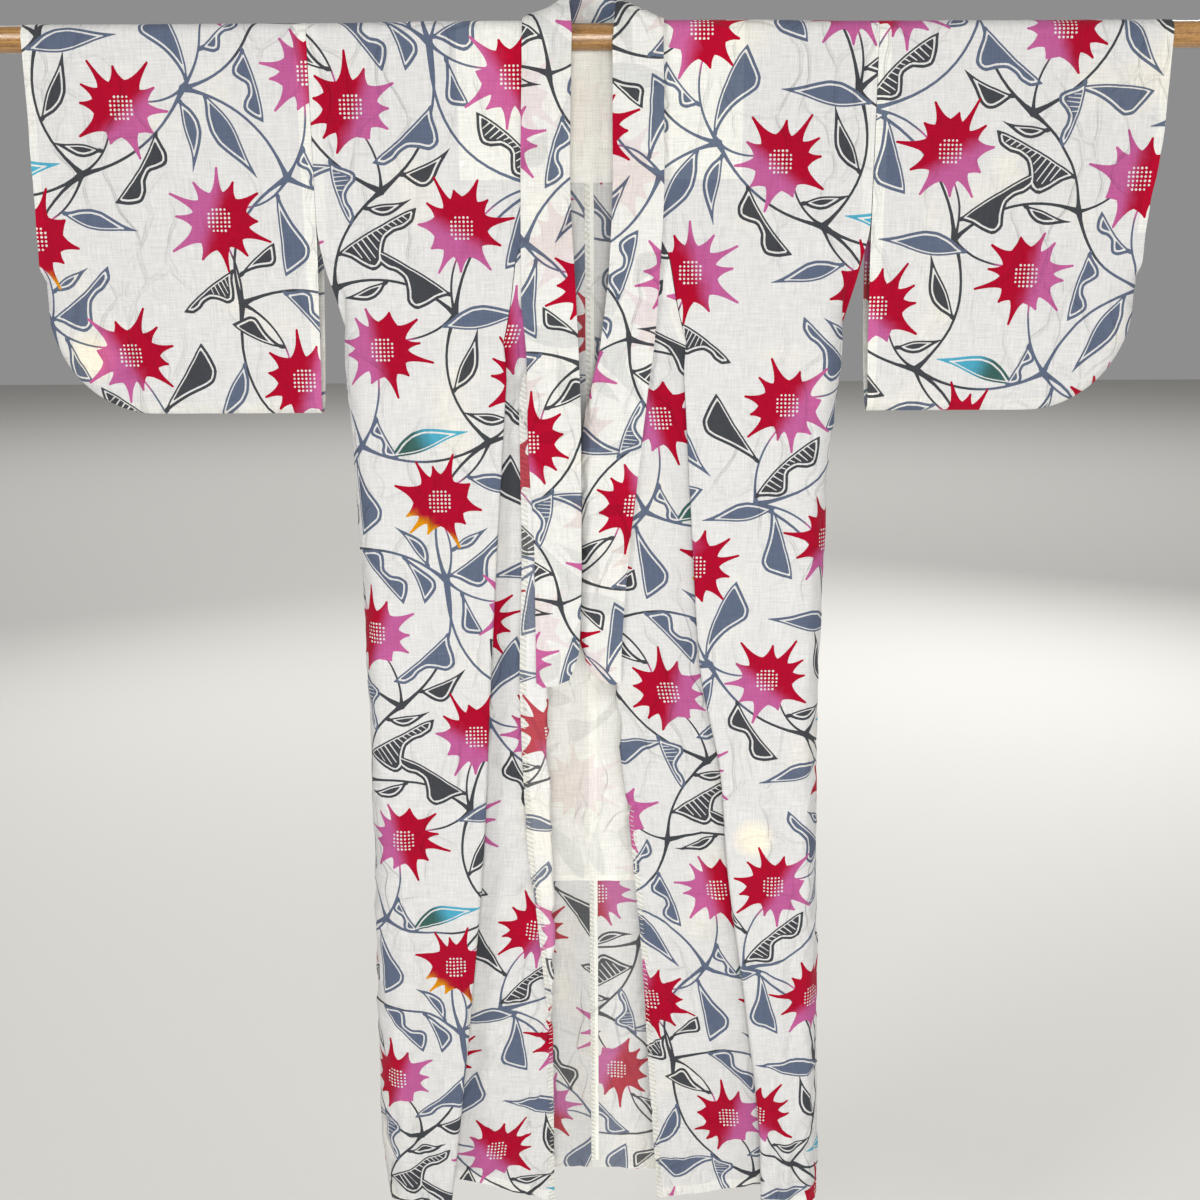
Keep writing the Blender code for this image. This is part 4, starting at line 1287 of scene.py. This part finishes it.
def wornPatches(material):
    # drifts of ivory where the cotton has aged, and two small stains
    place = addNode(material, "TexCoord")
    cloudy = addNode(material, "TexNoise", {"Scale": 9.0, "Detail": 3.0}, {"Vector": (place, "Object")})
    settings = {"From Min": 0.56, "From Max": 0.78, "To Max": 0.35}
    worn = addNode(material, "MapRange", settings, {"Value": cloudy})
    for middle, reach in cotton["stains"]:
        settings = {"operation": "DISTANCE", 1: middle}
        away = addNode(material, "VectorMath", settings, {0: (place, "Object")})
        settings = {"From Min": 0.4 * reach, "From Max": reach, "To Min": 0.75, "To Max": 0.0}
        stain = addNode(material, "MapRange", settings, {"Value": (away, "Value")})
        worn = addNode(material, "Math", {"operation": "MAXIMUM"}, {0: worn, 1: stain})
    return worn


def foldedHeight(material, flatMap):
    # creases left by folding: flat facets with sharp edges between them, stronger in some patches
    swirl = addNode(material, "TexNoise", {"Scale": 16.0, "Detail": 1.0}, {"Vector": flatMap})
    settings = {"operation": "MULTIPLY_ADD", 1: (cotton["creaseBend"], cotton["creaseBend"], 0.0)}
    bent = addNode(material, "VectorMath", settings, {0: (swirl, "Color"), 2: flatMap})
    across, along = cotton["creaseSize"]
    stretched = addNode(material, "Mapping", {"Scale": (1 / across, 1 / along, 1.0)}, {"Vector": bent})
    settings = {"feature": "DISTANCE_TO_EDGE", "Scale": 1.0}
    facets = addNode(material, "TexVoronoi", settings, {"Vector": stretched})
    settings = {"interpolation_type": "SMOOTHSTEP", "From Max": cotton["creaseWidth"]}
    edges = addNode(material, "MapRange", settings, {"Value": (facets, "Distance")})
    often = addNode(material, "TexNoise", {"Scale": 5.0, "Detail": 1.0}, {"Vector": flatMap})
    patches = addNode(material, "MapRange", {"From Min": 0.40, "From Max": 0.60}, {"Value": often})
    return addNode(material, "Math", {"operation": "MULTIPLY"}, {0: edges, 1: patches})


def cottonMaterial(name, printShare, single="thin", doubled="double"):
    # slubby plain-weave cotton, washed soft: dry and faintly fuzzy, with a fine uneven grid of threads
    material, shader = newMaterial(name, cotton["finish"])
    dye = addNode(material, "Attribute", {"attribute_name": "dye"})
    flatMap = addNode(material, "UVMap", {"uv_map": "cloth"})

    # colour: the cloth's tone by its layers, one layer with painted shade where the dark shows through it
    # (its inner face with painted light that reaches through), two layers paler; aged in patches, under the
    # print
    tones = {"Color1": opaque(cotton[single]), "Color2": opaque(cotton[doubled])}
    ground = addNode(material, "MixRGB", tones, {"Fac": (dye, "Alpha")})
    worn = {"Fac": (wornPatches(material), 0), "Color1": ground}
    aged = addNode(material, "MixRGB", {"Color2": opaque(cotton["worn"])}, worn)
    white = {"Fac": 1 - printShare, "Color2": (1.0, 1.0, 1.0, 1.0)}
    pale = addNode(material, "MixRGB", white, {"Color1": (dye, "Color")})
    over = {"blend_type": "MULTIPLY", "Fac": 1.0}
    dyed = addNode(material, "MixRGB", over, {"Color1": aged, "Color2": pale})

    # height: the weave, and the puffs that whipping draws up along a narrow hem
    uneven = weaveHeight(material, flatMap)
    whipped = addNode(material, "MapRange", {"From Min": 1.3, "From Max": 1.7}, {"Value": (dye, "Alpha")})
    leant = addNode(material, "Mapping", {"Rotation": (0.0, 0.0, -0.5)}, {"Vector": flatMap})
    waves = {"bands_direction": "Y", "Scale": cotton["pulls"]}
    pulls = addNode(material, "TexWave", waves, {"Vector": leant})
    puffed = addNode(material, "Math", {"operation": "MULTIPLY"}, {0: whipped, 1: (pulls, "Fac")})
    puffs = {"operation": "MULTIPLY_ADD", 1: 5.0}
    height = addNode(material, "Math", puffs, {0: puffed, 2: uneven})

    # painted light and shade: the colour is lighter on raised threads, partly the yarn's own uneven tone
    # and partly a painted highlight, and darker in the hollows between puffs, a painted shade
    hollowShadeMask = addNode(material, "Math", {"operation": "SUBTRACT"}, {0: whipped, 1: puffed})
    spread = {"From Min": 1.55, "From Max": 2.45, "To Min": 0.80, "To Max": 1.11}
    threadToneAndShade = addNode(material, "MapRange", spread, {"Value": uneven})
    # painted shade: the hollows between the whipped puffs are darkened by this much
    hollowShade = {"operation": "MULTIPLY_ADD", 1: -0.22}
    toneAndHollowShade = addNode(material, "Math", hollowShade, {0: hollowShadeMask, 2: threadToneAndShade})
    grey = addNode(material, "CombineColor", {}, {name: toneAndHollowShade for name in ("Red", "Green", "Blue")})
    dyedToneAndShade = addNode(material, "MixRGB", over, {"Color1": dyed, "Color2": grey})

    threads = addNode(material, "Bump", {"Strength": 0.5, "Distance": 0.0004}, {"Height": height})
    deep = {"Strength": 1.0, "Distance": cotton["creaseDepth"]}
    creases = {"Height": (foldedHeight(material, flatMap), 0), "Normal": threads}
    bump = addNode(material, "Bump", deep, creases)
    link(material, dyedToneAndShade, 0, shader, "Base Color")
    link(material, bump, 0, shader, "Normal")
    return material


face = cottonMaterial("printedCottonFace", 1.0)
reverse = cottonMaterial("printedCottonReverse", 0.92, "thinInside")
plain = cottonMaterial("bleachedCotton", 1.0, "thin", "lining")
print("cottons made")


yokeCut = {"edge": {"right": 0.1506, "left": 0.167}, "drop": 0.152}
seatCut = {"edge": {"right": 0.170, "left": 0.165}, "top": 0.574, "hem": 1.029, "hemWidth": 0.008}
allowanceCut = {"width": 0.0105, "top": 0.145, "end": robe["backHem"] - 0.012}
doubled = {  # how far a second layer of cloth reaches in from an edge
    "bodyHem": 0.016,
    "hem": 0.014,
    "seam": 0.012,
    "whippedHem": 0.008,
    "cuff": 0.009,
    "past": 0.010,  # its band is drawn on past the edge
}
tone = {  # how far a second layer shows, from one layer's grey at 0 to full paleness at 1
    "bodyHem": 0.8,
    "underLining": 0.9,
    "cuff": 0.7,
    "okumiSeam": 0.6,
    "collar": 0.6,
    "seam": 0.5,
    "seat": 0.75,
    "full": 1.0,
    "whipped": 2.0,  # marks a narrow hem that is puffed between its stitches, with painted shade in the hollows between the puffs
}
printStart = {  # where the print starts on each piece, since each comes from another stretch of the bolt
    "rightBody": (0.02, -0.13),
    "leftBody": (0.155, 0.11),
    "rightOkumi": (0.05, 0.04),
    "leftOkumi": (0.21, -0.21),
    "rightSleeve": (0.09, 0.17),
    "leftSleeve": (0.27, -0.05),
    "collar": (0.13, 0.27),
}
showThrough = {  # the print of the layer behind: where it starts, and how much of it shows
    "collar": (0.30, 0.02, 0.16),
    "yoke": (0.11, 0.07, 0.05),
    "seat": (0.02, 0.11, 0.13),
}


def rectangle(u0, u1, v0, v1):
    return np.array(((u0, v0), (u1, v0), (u1, v1), (u0, v1)))


def bodyPiece(side):
    cloth = drapedBody(side)
    place = gridPlace(cloth)
    u, v, between = cloth["u"], cloth["v"], robe["between"]
    curl, wrap = (line * between for line in frontPlain)
    frontColumns, backColumns = np.arange(curl, wrap), np.arange(3, u.shape[1] - 2, 2)
    points = []
    for i in range(1, len(v) - 1, 2):
        columns = frontColumns if i < cloth["front"] else backColumns
        points.append(flatLine(u[i, columns], v[i]))
    # lines down the sharp folds at the front edge and the side, where the mesh has to be fine
    frontRows = np.arange(1, cloth["front"], 3)
    frontFolds = (robe["foldStarts"][0], range(between, curl + 1, between // 2))
    sideFolds = (0.2, range(wrap, wrap + 3 * between, 3))
    lines = []
    for start, columns in (frontFolds, sideFolds):
        rows = frontRows[v[frontRows] < -start - quarterTurn]
        lines += [flatLine(u[rows, k], v[rows]) for k in columns]
    hem, backHem = robe["hem"] + quarterTurn, robe["backHem"] + quarterTurn
    deep, past = doubled["bodyHem"], doubled["past"]
    yokeHem, slitTop = yokeCut["drop"] + quarterTurn, robe["slit"][0] + quarterTurn
    seatTop, seatHem = seatCut["top"] + quarterTurn, seatCut["hem"] + quarterTurn
    bands = [
        (tone["bodyHem"], rectangle(0.02, 0.45, -hem - past, -hem + deep)),
        (tone["bodyHem"], rectangle(-0.02, 0.45, backHem - deep, backHem + past)),
        (tone["full"], rectangle(0.03, yokeCut["edge"][side], -yokeHem, yokeHem)),
        (tone["seam"], rectangle(robe["sleeveSeam"] - doubled["seam"], 0.33, -slitTop, slitTop)),
        (tone["underLining"], rectangle(-0.01, seatCut["edge"]["right"], seatTop, seatHem)),
    ]
    piece = makeSheet(
        f"{side}BodyCloth", place, outlineOf(cloth), np.concatenate(points), lines, bands,
        [face, reverse], side == "right", printStart[side + "Body"],
    )
    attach(piece, "root")
    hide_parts(f"body_{side}")
    return piece, place


bodies = {side: bodyPiece(side) for side in sign}
print("bodies hung")


def okumiPiece(side):
    cloth = drapedOkumi(side)
    place = gridPlace(cloth)
    u, v, between = cloth["u"], cloth["v"], robe["between"]
    # the hem slants, so it cuts across the cloth's rows
    q = np.linspace(0, len(acrossOkumi) - 1, u.shape[1])
    across = np.interp(q, np.arange(len(acrossOkumi)), acrossOkumi)
    hemDrop = mix(*okumiHem[side], ease(across, 0.2, 1.0))
    row = np.interp(-hemDrop - quarterTurn, v, np.arange(len(v)))
    low = np.minimum(row.astype(int), len(v) - 2)
    columns = np.arange(u.shape[1])
    hemLine = flatLine(mix(u[low, columns], u[low + 1, columns], row - low), -hemDrop - quarterTurn)
    freeEdge = flatLine(u[:, -1], v)
    seamEdge = flatLine(0.0, v)[::-1]
    freeSide = freeEdge[v > hemLine[-1, 1] + 0.002]
    seamSide = seamEdge[seamEdge[:, 1] > hemLine[0, 1] + 0.002]
    outline = spaced(np.concatenate([hemLine[::3], freeSide[1:], seamSide]))
    turnIn, turnOver = (line * between for line in okumiPlain)
    points = [flatLine(u[i, turnIn : turnOver + between : 2], v[i]) for i in range(2, len(v) - 2)]
    lines = []
    rows = np.arange(3, len(v) - 3, 3)
    half = between // 2
    for k in (*range(half, turnIn, half), *range(turnOver, turnOver + 5 * between, half)):
        folded = rows[(v[rows] < -0.30) & (v[rows] > hemLine[k, 1] + 0.004)]
        lines.append(flatLine(u[folded, k], v[folded]))
    past = doubled["past"]
    edgeBand = np.concatenate([freeEdge[::4] - (doubled["whippedHem"], 0), freeEdge[::-4] + (past, 0)])
    hemBand = np.concatenate([hemLine[::6] + (0, doubled["hem"]), hemLine[::-6] - (0, past)])
    bands = [
        (tone["whipped"], edgeBand),
        (tone["bodyHem"], hemBand),
        (tone["okumiSeam"], rectangle(-0.005, 0.010, -1.6, -0.2)),
    ]
    piece = makeSheet(
        f"{side}OkumiCloth", place, outline, np.concatenate(points), lines, bands,
        [face, reverse], side == "left", printStart[side + "Okumi"],
    )
    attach(piece, "root")
    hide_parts(f"okumi_{side}")
    return piece, place, cloth


okumis = {side: okumiPiece(side) for side in sign}
print("okumi hung")


def sleevePiece(side):
    shape, q = sleeveShape[side], quarterTurn
    deep, corner, step = robe["sleeveDrop"], robe["sleeveCorner"], 0.0095
    straight = np.linspace(0.0, deep - corner, 50)
    arc = np.linspace(0.0, math.pi / 2, 24)[1:]
    drops = np.concatenate([straight, deep - corner + corner * np.sin(arc)])
    outerX = read(shape, "outer", drops)
    outerX[len(straight) :] -= corner * (1 - np.cos(arc))
    bottomX = np.linspace(outerX[-1], 0.3225, 24)[1:-1]
    innerDrops = np.linspace(deep, 0.0, 60)
    frontEdge = np.concatenate([
        flatLine(outerX, -drops - q),
        flatLine(bottomX, -deep - q),
        flatLine(read(shape, "inner", innerDrops), -innerDrops - q),
    ])
    rodV = np.linspace(-q, q, 9)[1:-1]
    backEdge = (frontEdge * (1, -1))[::-1]
    overTop = flatLine(shape["inner"][0], rodV), flatLine(shape["outer"][0], rodV[::-1])
    outline = np.concatenate([frontEdge, overTop[0], backEdge, overTop[1]])[::-1]
    grid = gridOver((0.322, 0.632), (-0.42, 0.4201), step)
    grid = grid[grid[:, 0] < read(shape, "outer", np.abs(grid[:, 1])) - 0.004]
    lines = [flatLine(np.arange(0.32, 0.62, step), v) for v in np.linspace(-q, q, 7)]
    low, bands = deep + q, []
    for way in (-1, 1):
        v0, v1 = sorted((way * (low + doubled["past"]), way * (low - doubled["hem"])))
        bands.append((tone["seam"], rectangle(0.31, 0.64, v0, v1)))
    bands.append((tone["full"], rectangle(0.31, 0.329, -0.5, 0.5)))
    cuff = flatLine(outerX[:36] - doubled["cuff"], drops[:36] + q)
    cuff = np.concatenate([(cuff * (1, -1))[::-1], cuff])
    bands.append((tone["cuff"], np.concatenate([cuff, (cuff + (0.02, 0))[::-1]])))
    piece = makeSheet(
        f"{side}SleeveCloth", sleevePlace(side), outline, grid, lines, bands,
        [face, reverse], side == "right", printStart[side + "Sleeve"],
    )
    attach(piece, "root")
    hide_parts(f"sleeve_{side}")
    return piece


sleeves = {side: sleevePiece(side) for side in sign}
print("sleeves hung")


def collarPiece():
    cloth = drapedCollar()
    u, v = cloth["u"], cloth["v"]
    points = [flatLine(u[i, 2:-2:2], v[i]) for i in range(1, len(v) - 1)]
    lines = [flatLine(u[1:-1, k], v[1:-1]) for k in range(12, 18)]  # round its folded edge
    bands = [(tone["collar"], rectangle(-0.01, 0.2, -0.1, v[-1] + 0.1))]
    piece = makeSheet(
        "collarCloth", gridPlace(cloth), outlineOf(cloth), np.concatenate(points), lines, bands,
        [face, reverse], False, printStart["collar"], showThrough["collar"],
    )
    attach(piece, "root")
    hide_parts("collar")
    return piece


collar = collarPiece()
print("collar folded")


def plainSheet(name, place, outline, step, bands, ghost=None):
    outline = stepped(outline, step)
    low, high = outline.min(axis=0) + step / 2, outline.max(axis=0)
    grid = gridOver((low[0], high[0]), (low[1], high[1]), step)
    piece = makeSheet(name, place, outline, grid, [], bands, [plain], False, None, ghost)
    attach(piece, "root")
    return piece


def shoulderLining():
    def place(flatPoints):
        x, v = flatPoints[:, 0], flatPoints[:, 1]
        drop = np.maximum(np.abs(v) - quarterTurn, 0.0)
        body = [hang("front" if b < 0 else "back", abs(a), d) for a, b, d in zip(x, v, drop)]
        reach = np.array([abs(depth) for depth in body]) - 0.0015
        pucker = (relief("yoke", "waves", x, v) + relief("yoke", "dents", x, v)) * ease(drop, 0.03, 0.1)
        y, z = roundRod(v, drop, np.sign(v) * (reach - np.abs(pucker)))
        return np.stack([x, y, z], axis=-1)

    right, left = yokeCut["edge"]["right"], yokeCut["edge"]["left"]
    hem, neck = yokeCut["drop"] + quarterTurn, neckCut["edge"][0]
    angles = np.arange(0.0, 158.0, 7.5)
    edge = flatLine(read(neckCut, "edge", angles), robe["bodyRadius"] * np.radians(angles - 90))
    neckLine = np.concatenate([edge, (edge * (-1, 1))[::-1]])
    corners = ((neck, -hem), (left, -hem), (left, hem), (-right, hem), (-right, -hem), (-neck, -hem))
    outline = np.concatenate([corners, neckLine[::-1]])
    bands = [(tone["full"], rectangle(-0.3, 0.3, -0.3, 0.3))]
    return plainSheet("shoulderLiningCloth", place, outline, 0.009, bands, showThrough["yoke"])


def seatLining():
    def place(flatPoints):
        u, v = flatPoints[:, 0], flatPoints[:, 1]
        out = np.zeros((len(flatPoints), 3))
        for side in sign:
            pick = np.nonzero(u * sign[side] >= 0)[0]
            out[pick] = bodies[side][1](flatPoints[pick] * (sign[side], 1))
        out[:, 0] = np.where(np.abs(u) < 0.002, u, out[:, 0])
        waves, marks, dents = (relief("seat", kind, u, v) for kind in ("waves", "marks", "dents"))
        out[:, 1] -= 0.0017 + np.abs(waves + marks + dents)  # it hangs clear of the back
        out[:, 1] -= creaseHeight(seatCreases, u, v)
        return out

    top, hem = seatCut["top"] + quarterTurn, seatCut["hem"] + quarterTurn
    outline = rectangle(-seatCut["edge"]["right"], seatCut["edge"]["left"], top, hem)
    bands = [
        (tone["seat"], rectangle(-0.3, 0.3, 0.5, 1.2)),
        (tone["full"], rectangle(-0.2, 0.2, hem - seatCut["hemWidth"], hem + 0.011)),
        (tone["full"], rectangle(-allowanceCut["width"], 0.0, 0.5, 1.2)),  # spare cloth behind it
    ]
    return plainSheet("seatLiningCloth", place, outline, 0.005, bands, showThrough["seat"])


def allowancePlace(flatPoints):
    # flat on the right body's back beside the centre seam, and puffed a little where nothing covers it
    out = bodies["right"][1](flatPoints * (-1.0, 1.0) + (0.0002, 0.0))
    u, v = flatPoints[:, 0], flatPoints[:, 1]
    drop = v - quarterTurn
    underLining = ease(drop, 0.540, 0.565) - ease(drop, 1.040, 1.065)
    puff = np.abs(relief("allowance", "waves", u, v)) * (1 - underLining)
    out[:, 1] -= 0.0007 + puff * ease(-u, 0.002, allowanceCut["width"])
    return out


def centreAllowance():
    # the centre back seam's spare cloth, pressed to the wearer's right and whipped down along its edge
    width, whippedTo = allowanceCut["width"], 0.006 - allowanceCut["width"]
    outline = rectangle(-width, 0.0, quarterTurn + allowanceCut["top"], quarterTurn + allowanceCut["end"])
    whole, whipped = rectangle(-0.1, 0.1, -0.1, 1.6), rectangle(-0.1, whippedTo, -0.1, 1.6)
    bands = [(tone["full"], whole), (tone["whipped"], whipped)]
    return plainSheet("centreSeamAllowance", allowancePlace, outline, 0.004, bands)


yoke, seat = shoulderLining(), seatLining()
allowance = centreAllowance()
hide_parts("shoulder_lining")
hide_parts("seat_lining")
print("linings set in")

sewing = {
    "radius": 0.00045,
    "pitch": 0.0065,
    "uneven": 0.0006,  # how far a hand stitch strays from its place
    "reach": 0.0055,
    "slant": 0.0030,
    "colour": "#DCD8CC",
    "strandShade": 0.78,  # how dark the painted shade between its strands makes the thread
    "sides": 5,
    "seed": 51,
}


def cottonThread():
    # soft white sewing cotton, dull, with a faint twist painted darker between its strands
    material, shader = newMaterial("sewingCotton", {"Roughness": 0.8, "IOR": 1.46, "Sheen Weight": 0.15})
    place = addNode(material, "TexCoord")
    # painted shade between the thread's strands, in random specks
    strandShade = addNode(material, "TexNoise", {"Scale": 900.0, "Detail": 1.0}, {"Vector": (place, "Object")})
    light = opaque(sewing["colour"])
    dark = (*(part * sewing["strandShade"] for part in light[:3]), 1.0)
    strands = addNode(material, "MixRGB", {"Color1": dark, "Color2": light}, {"Fac": strandShade})
    link(material, strands, 0, shader, "Base Color")
    return material


def sewn(name, place, starts, ends, way, material):
    # one short thread for each pair of flat points, laid on the face (way 1) or the back (-1) of the cloth
    path, normals = [], []
    for t in (0.0, 0.3, 0.7, 1.0):
        at = mix(starts, ends, t)
        spot = place(at)
        normal = np.cross(place(at + (0.0008, 0.0)) - spot, place(at + (0.0, 0.0008)) - spot)
        normal /= np.maximum(np.linalg.norm(normal, axis=1, keepdims=True), 1e-12)
        proud = robe["shell"] / 2 + sewing["radius"] * (0.2 if t in (0.0, 1.0) else 0.9)
        path.append(spot + normal * way * proud)
        normals.append(normal * way)
    count, sides = len(starts), sewing["sides"]
    verts, faces = [], []
    for k in range(4):
        ahead = path[min(k + 1, 3)] - path[max(k - 1, 0)]
        ahead /= np.maximum(np.linalg.norm(ahead, axis=1, keepdims=True), 1e-12)
        across = np.cross(ahead, normals[k])
        size = sewing["radius"] * (0.45 if k in (0, 3) else 1.0)
        angles = 2 * math.pi * np.arange(sides) / sides
        verts += [path[k] + size * (math.cos(a) * across + math.sin(a) * normals[k]) for a in angles]
    for i in range(count):
        for k in range(3):
            for j in range(sides):
                a, b = (k * sides + j) * count + i, (k * sides + (j + 1) % sides) * count + i
                faces.append((a, b, b + sides * count, a + sides * count))
        faces.append([j * count + i for j in reversed(range(sides))])
        faces.append([(3 * sides + j) * count + i for j in range(sides)])
    piece = meshPiece(name, np.concatenate(verts), faces, [material])
    bpy.ops.object.mode_set(mode="EDIT")
    bpy.ops.mesh.select_all(action="SELECT")
    bpy.ops.mesh.normals_make_consistent(inside=False)
    bpy.ops.object.mode_set(mode="OBJECT")
    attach(piece, "root")
    return piece


def edgeStitches(side, material):
    # whipping along the narrow hem of an okumi's free edge, seen on both of its sides
    _, place, cloth = okumis[side]
    draw = np.random.default_rng(sewing["seed"] + (side == "left"))
    low = -okumiHem[side][1] - quarterTurn + 0.02
    v = np.arange(low, -0.70 - quarterTurn, sewing["pitch"])
    v = v + draw.uniform(-sewing["uneven"], sewing["uneven"], len(v))
    edge = np.interp(v, cloth["v"], cloth["u"][:, -1])
    starts = flatLine(edge - sewing["reach"] - draw.uniform(0, 0.0008, len(v)), v)
    ends = flatLine(edge - 0.0006, v + sewing["slant"])
    faces = (("Face", 1), ("Back", -1))
    return [sewn(f"{side}Okumi{part}Stitches", place, starts, ends, way, material) for part, way in faces]


def allowanceStitches(material):
    draw = np.random.default_rng(sewing["seed"] + 2)
    v = np.arange(quarterTurn + 0.165, quarterTurn + allowanceCut["end"] - 0.006, sewing["pitch"])
    v = v[(v < quarterTurn + 0.568) | (v > quarterTurn + 1.034)]  # none under the seat lining
    v = v + draw.uniform(-sewing["uneven"], sewing["uneven"], len(v))
    starts = flatLine(0.0042 - allowanceCut["width"], v)
    ends = flatLine(0.0003 - allowanceCut["width"], v + sewing["slant"])
    return sewn("centreSeamStitches", allowancePlace, starts, ends, -1, material)


thread = cottonThread()
okumiStitches = {side: edgeStitches(side, thread) for side in sign}
seamStitches = allowanceStitches(thread)
print("edges whipped")

wood = {
    "finish": {"Roughness": 0.36, "IOR": 1.5, "Coat Weight": 0.6, "Coat Roughness": 0.13},
    "dark": "#775125",
    "light": "#B0844A",
    "fleck": 0.0007,  # short dark flecks of grain, and how far they run
    "fleckRun": 0.004,
    "streak": 0.0025,
    "streakRun": 0.060,
    "length": 1.50,
    "bevel": 0.0012,
}


def varnishedWood():
    # turned hardwood under gloss varnish: short flecks of grain below a shine that the flecks break up
    material, shader = newMaterial("varnishedWood", wood["finish"])
    place = addNode(material, "TexCoord")
    tones = []
    for run, width in ((wood["fleckRun"], wood["fleck"]), (wood["streakRun"], wood["streak"])):
        scale = (1 / run, 1 / width, 1 / width)
        spread = addNode(material, "Mapping", {"Scale": scale}, {"Vector": (place, "Object")})
        tones.append(addNode(material, "TexNoise", {"Scale": 1.0, "Detail": 3.0}, {"Vector": spread}))
    grain = addNode(material, "Math", {"operation": "ADD"}, {0: tones[0], 1: tones[1]})
    half = addNode(material, "Math", {"operation": "MULTIPLY", 1: 0.5}, {0: grain})
    ramp = addNode(material, "ValToRGB", {}, {"Fac": half})
    ends = ((0.38, wood["dark"]), (0.60, wood["light"]))
    for element, (position, colour) in zip(ramp.color_ramp.elements, ends):
        element.position, element.color = position, opaque(colour)
    bump = addNode(material, "Bump", {"Strength": 0.5, "Distance": 0.0003}, {"Height": tones[0]})
    link(material, ramp, 0, shader, "Base Color")
    for normal in ("Normal", "Coat Normal"):
        link(material, bump, 0, shader, normal)
    return material


def turnedRod():
    bpy.ops.object.select_all(action="DESELECT")
    size = {"radius": robe["rodRadius"], "depth": wood["length"]}
    bpy.ops.mesh.primitive_cylinder_add(vertices=96, rotation=(0, math.pi / 2, 0), **size)
    rod = bpy.context.active_object
    rod.name = rod.data.name = "turnedRod"
    bpy.ops.object.transform_apply(location=True, rotation=True, scale=True)
    bpy.ops.object.mode_set(mode="EDIT")
    bpy.ops.mesh.select_all(action="DESELECT")
    bpy.ops.object.mode_set(mode="OBJECT")
    for edge in rod.data.edges:  # the rims of both ends
        a, b = (rod.data.vertices[i].co.x for i in edge.vertices)
        edge.select = abs(a - b) < 1e-6
    bpy.ops.object.mode_set(mode="EDIT")
    bpy.ops.mesh.select_mode(type="EDGE")
    bpy.ops.mesh.bevel(offset=wood["bevel"], segments=3)
    bpy.ops.object.mode_set(mode="OBJECT")
    rod.data.shade_smooth()
    rod.data.set_sharp_from_angle(angle=math.radians(40))
    rod.data.materials.append(varnishedWood())
    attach(rod, "root")
    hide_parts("rod")


turnedRod()
print("rod turned")


studio = {
    "floorDrop": 1.80,
    "floor": "#C4C2BD",
    "world": "#D2D2D2",
    "worldStrength": 0.42,
    "eye": (0.005, -1.440, -0.3095),
    "pitch": 13.0,
    "roll": 0.27,
    "lens": 36,
    "lights": {  # where each stands, where it points, its sides and its power
        "keyLight": ((-3.0, -2.5, 0.9), (0, 0, -0.8), (1.0, 1.0), 70),
        "fillLight": ((1.3, -2.9, -0.7), (0, 0, -0.9), (1.6, 1.4), 22),
        "frontLight": ((0.05, -2.6, -0.55), (0, 0, -0.85), (0.9, 0.9), 44),
        "rightLight": ((2.4, -0.9, 0.2), (0, 0, -0.7), (1.2, 1.8), 14),
        "topLight": ((0.2, -0.4, 2.4), (0, 0, -0.3), (2.0, 1.2), 6),
        "backKey": ((2.4, 4.2, 1.4), (0, 0, -0.8), (1.8, 1.8), 165),
        "backFill": ((-2.2, 3.8, 0.9), (0, 0, -0.8), (1.8, 1.8), 55),
        "floorLight": ((0, 6, 5), (0, 10, -1.8), (14, 5), 420),
        "farLight": ((0, 12, 8), (0, 22, -1.8), (20, 10), 900),
    },
}


def studioFloor():
    material, shader = newMaterial("paintedFloor", {"Roughness": 0.9})
    shader.inputs["Base Color"].default_value = opaque(studio["floor"])
    bpy.ops.object.select_all(action="DESELECT")
    bpy.ops.mesh.primitive_plane_add(size=60, location=(0, 0, -studio["floorDrop"]))
    floor = bpy.context.active_object
    floor.name = "studioFloor"
    floor.data.materials.append(material)


def softLight(name, place, aim, size, power):
    data = bpy.data.lights.new(name, "AREA")
    data.shape, data.size, data.size_y, data.energy = "RECTANGLE", *size, power
    lamp = addObject(name, data)
    lamp.location = place
    lamp.rotation_euler = (Vector(aim) - Vector(place)).to_track_quat("-Z", "Y").to_euler()


def studioCamera():
    data = bpy.data.cameras.new("camera")
    data.sensor_width, data.lens, data.clip_start = 36, studio["lens"], 0.01
    camera = addObject("camera", data)
    tilt = Matrix.Rotation(math.radians(90 - studio["pitch"]), 4, "X")
    roll = Matrix.Rotation(-math.radians(studio["roll"]), 4, "Z")
    camera.matrix_world = Matrix.Translation(studio["eye"]) @ (tilt @ roll)
    bpy.context.scene.camera = camera


def studioWorld():
    world = bpy.data.worlds.new("studio")
    bpy.context.scene.world = world
    world.use_nodes = True
    background = world.node_tree.nodes["Background"]
    background.inputs["Color"].default_value = opaque(studio["world"])
    background.inputs["Strength"].default_value = studio["worldStrength"]


studioFloor()
for name, light in studio["lights"].items():
    softLight(name, *light)
studioWorld()
studioCamera()
bpy.context.scene.view_settings.view_transform = "Standard"  # keeps the dyes' own colours
print("room lit")
